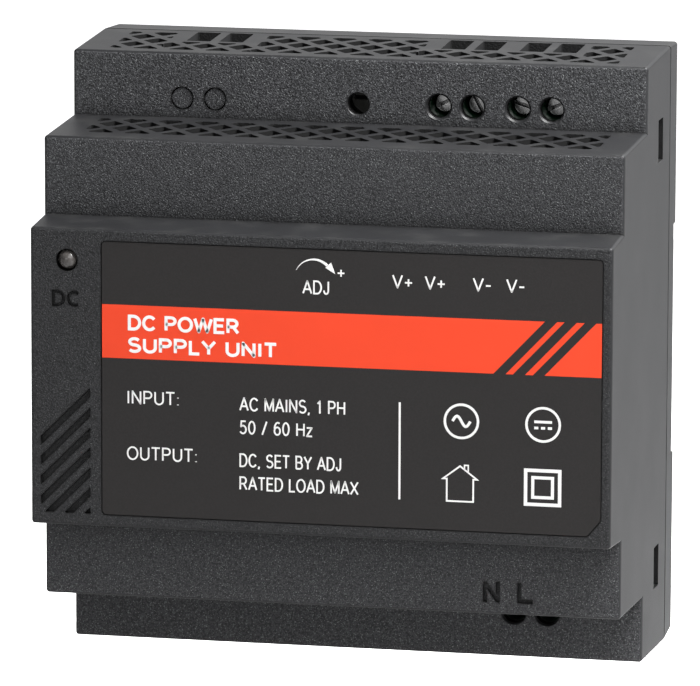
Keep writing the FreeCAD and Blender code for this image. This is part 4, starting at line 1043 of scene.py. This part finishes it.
class PSU_OT_parts(bpy.types.Operator):
    """Finishes the capacitors, the power parts and the small parts on the board"""

    bl_idname = "psu.parts"
    bl_label = "Board parts"

    def can(self):
        """A shrink sleeve on the side and bare aluminium at the end that faces forwards."""
        material, t, shader = new_material("capacitor_can")
        place = t.place()
        normal = t.split(t.add("ShaderNodeNewGeometry").outputs["Normal"])
        end = t.ramp(t.times(normal["Y"], -1.0), 0.75, 0.85)
        shade = t.add("ShaderNodeTexNoise", {"Vector": place, "Scale": 300.0, "Detail": 4.0})
        sleeve = t.mix(shade.outputs[0], (0.010, 0.011, 0.016), (0.022, 0.024, 0.034))
        bare = t.mix(shade.outputs[0], (0.50, 0.50, 0.51), (0.66, 0.66, 0.67))
        t.put(shader.inputs["Base Color"], t.mix(end, sleeve, bare))
        t.put(shader.inputs["Metallic"], end)
        t.put(shader.inputs["Roughness"], t.blend(shade.outputs[0], 0.20, 0.36))
        bump(t, shader, shade.outputs[0], 0.00001)
        return material

    def execute(self, context):
        can = self.can()
        for node in ("bulk_capacitor", "output_capacitors", "auxiliary_capacitor"):
            paint_node(node, can)
        paint_node("film_capacitor", moulded("yellow_resin", (0.62, 0.40, 0.03), 0.35))
        blue = moulded("blue_coating", (0.02, 0.07, 0.32), 0.30, relief=0.00003)
        for node in ("suppressor_discs", "surge_arrester"):
            paint_node(node, blue)
        paint_node("inrush_limiter", moulded("green_grey_coating", (0.035, 0.06, 0.04), 0.5, relief=0.00003))
        glass, t, shader = new_material("fuse_glass", Transmission_Weight=0.9, IOR=1.5)
        place = t.place()
        film = t.add("ShaderNodeTexNoise", {"Vector": place, "Scale": 400.0, "Detail": 2.0})
        t.put(shader.inputs["Base Color"], t.mix(film.outputs[0], (0.85, 0.88, 0.86), (0.95, 0.97, 0.96)))
        t.put(shader.inputs["Roughness"], t.blend(film.outputs[0], 0.02, 0.10))
        paint_node("fuse_tube", glass)
        paint_node("fuse_caps", metal("nickel_plating", (0.60, 0.58, 0.52), 0.22))
        resin = moulded("black_resin", (0.012, 0.012, 0.013), 0.42, grain=0.00025, relief=0.00002)
        for node in ("bridge_rectifier", "switching_transistor", "output_rectifier", "optocoupler",
                     "controller_chip"):
            paint_node(node, resin)
        sink = metal("sink_aluminium", (0.52, 0.53, 0.54), 0.38, along=(1.0, 0.05, 1.0), relief=0.00002)
        for node in ("primary_heat_sink", "secondary_heat_sink"):
            paint_node(node, sink)
        paint_node("package_screws", metal("package_screw_plating", (0.55, 0.55, 0.52), 0.3))
        return {"FINISHED"}


class PSU_OT_clip(bpy.types.Operator):
    """Finishes the rail clip and winds its spring"""

    bl_idname = "psu.clip"
    bl_label = "Rail clip"

    def spring_tree(self):
        group, t, given, out = geometry_tree("Coil spring", [
            ("Radius", "Float", 0.00135), ("Wire", "Float", 0.0005),
            ("Length", "Float", 0.012), ("Turns", "Float", 8.0),
            ("Centre", "Vector", (0.0, 0.0, 0.0)), ("Material", "Material", None)])
        line = t.add("GeometryNodeMeshLine", {"Count": SPRING_STEPS + 1})
        index = t.add("GeometryNodeInputIndex").outputs[0]
        share = t.over(index, float(SPRING_STEPS))
        wave = t.math("SINE", t.times(share, 2 * math.pi))
        closing = t.minus(share, t.times(wave, 0.13))        # the end turns lie closer than the middle ones
        angle = t.times(t.times(share, given["Turns"]), 2 * math.pi)
        rise = t.times(closing, t.minus(given["Length"], given["Wire"]))
        lift = t.plus(rise, t.times(given["Wire"], 0.5))
        spot = t.add("ShaderNodeCombineXYZ", {
            0: t.times(t.math("COSINE", angle), given["Radius"]),
            1: t.times(t.math("SINE", angle), given["Radius"]), 2: lift})
        moved = t.add("ShaderNodeVectorMath", {0: spot.outputs[0], 1: given["Centre"]})
        set_at = t.add("GeometryNodeSetPosition", {"Geometry": line.outputs[0], "Position": moved.outputs[0]})
        path = t.add("GeometryNodeMeshToCurve", {0: set_at.outputs[0]})
        section = t.add("GeometryNodeCurvePrimitiveCircle", {
            "Resolution": 10, "Radius": t.times(given["Wire"], 0.5)})
        wire = t.add("GeometryNodeCurveToMesh", {
            "Curve": path.outputs[0], "Profile Curve": section.outputs["Curve"], "Fill Caps": True})
        smooth = t.add("GeometryNodeSetShadeSmooth", {0: wire.outputs[0]})
        ends_in(t, out, smooth.outputs[0], given["Material"])
        return group

    def execute(self, context):
        s = context.scene.psu_clip
        plastic = moulded("clip_plastic", s.plastic, 0.45, grain=0.0004, relief=0.00002, dust=0.1)
        paint_node("rail_clip", plastic)
        steel = metal("spring_steel", (0.50, 0.50, 0.50), 0.28)
        paint_node("rail_clip_spring", steel)
        low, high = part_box("rail_clip_spring")
        foot, length = low[2], high[2] - low[2]
        made = grown("clip_spring_wire", self.spring_tree(), {
            "Radius": s.radius, "Wire": s.wire, "Length": length, "Turns": s.turns,
            "Centre": ((low[0] + high[0]) / 2, (low[1] + high[1]) / 2, foot)}, steel)
        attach(made, "case")
        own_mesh(made)
        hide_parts("rail_clip_spring")
        return {"FINISHED"}


class PSU_OT_stage(bpy.types.Operator):
    """Sets out the floor, the soft lights and the camera"""

    bl_idname = "psu.stage"
    bl_label = "Stage"

    def execute(self, context):
        s = context.scene.psu_stage
        scene = context.scene
        material, t, shader = new_material("floor_paper")
        place = t.place()
        fibre = t.add("ShaderNodeTexNoise", {"Vector": place, "Scale": 60.0, "Detail": 5.0})
        pale = Vector(s.floor)
        far = t.ramp(t.split(place)["Y"], *FLOOR_GLOW_Y)
        paper = t.mix(fibre.outputs[0], pale * 0.985, tuple(pale))
        t.put(shader.inputs["Base Color"], t.mix(far, pale * FLOOR_NEAR_SHADE, paper))
        t.put(shader.inputs["Roughness"], t.blend(fibre.outputs[0], 0.75, 0.9))
        t.put(shader.inputs["Emission Color"], t.mix(far, (0.0, 0.0, 0.0), (1.0, 1.0, 1.0)))
        shader.inputs["Emission Strength"].default_value = s.glow
        bm = bmesh.new()
        z = CAD_BOX[0][2] - FLOOR_BELOW
        corners = ((-1, -1), (1, -1), (1, 1), (-1, 1))
        bm.faces.new([bm.verts.new((i * FLOOR_HALF, j * FLOOR_HALF, z)) for i, j in corners])
        finished("floor", bm, material)

        world = bpy.data.worlds.new("soft_room")
        scene.world = world
        world.use_nodes = True
        w = Tree(world.node_tree)
        back = world.node_tree.nodes["Background"]
        back.inputs["Strength"].default_value = s.sky
        direction = w.split(w.add("ShaderNodeTexCoord").outputs["Generated"])
        behind = w.ramp(direction["Y"], -0.1, 0.6)
        level = w.ramp(direction["Z"], 0.85, 0.25)
        w.put(back.inputs["Color"], w.mix(w.times(behind, level), (0.10, 0.10, 0.105), (0.85, 0.85, 0.85)))

        for name, place, target, size, share in LIGHTS:
            data = bpy.data.lights.new(name, "AREA")
            data.shape, data.size, data.energy = "DISK", size, s.key * share
            made = bpy.data.objects.new(name, data)
            made.location = place
            made.rotation_euler = (Vector(target) - Vector(place)).to_track_quat("-Z", "Y").to_euler()
            scene.collection.objects.link(made)

        yaw, pitch, roll = (math.radians(a) for a in CAMERA_TURN)
        data = bpy.data.cameras.new("camera")
        data.sensor_width = 36.0
        data.lens = s.focal / MM
        camera = bpy.data.objects.new("camera", data)
        place = Matrix.Translation((CAMERA_X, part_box("front_cover")[0][1] - CAMERA_AHEAD, CAMERA_Z))
        turn = Matrix.Rotation(yaw, 4, "Z") @ Matrix.Rotation(math.pi / 2 - pitch, 4, "X")
        camera.matrix_world = place @ turn @ Matrix.Rotation(roll, 4, "Z")
        scene.collection.objects.link(camera)
        scene.camera = camera
        scene.view_settings.view_transform = "Standard"
        return {"FINISHED"}


OPERATORS = (
    PSU_OT_stage, PSU_OT_case, PSU_OT_label, PSU_OT_terminals, PSU_OT_lamp, PSU_OT_board, PSU_OT_windings,
    PSU_OT_parts, PSU_OT_clip,
)


class PSU_PT_panel(bpy.types.Panel):
    """Lists the power supply's pieces and their sizes and colours"""

    bl_idname = "PSU_PT_panel"
    bl_label = "Power Supply"
    bl_space_type = "VIEW_3D"
    bl_region_type = "UI"
    bl_category = "Power Supply"

    def draw(self, context):
        for operator in OPERATORS:
            self.layout.operator(operator.bl_idname)
        for name, group in SETTINGS.items():
            column = self.layout.box().column()
            for key in group.__annotations__:
                column.prop(getattr(context.scene, name), key)


CLASSES = (*SETTINGS.values(), *OPERATORS, PSU_PT_panel)


def register():
    for cls in CLASSES:
        bpy.utils.register_class(cls)
    for name, group in SETTINGS.items():
        setattr(bpy.types.Scene, name, bpy.props.PointerProperty(type=group))


def unregister():
    for name in SETTINGS:
        delattr(bpy.types.Scene, name)
    for cls in reversed(CLASSES):
        bpy.utils.unregister_class(cls)


def main():
    register()
    for operator in OPERATORS:
        area, name = operator.bl_idname.split(".")
        getattr(getattr(bpy.ops, area), name)()


if __name__ == "__main__":
    main()
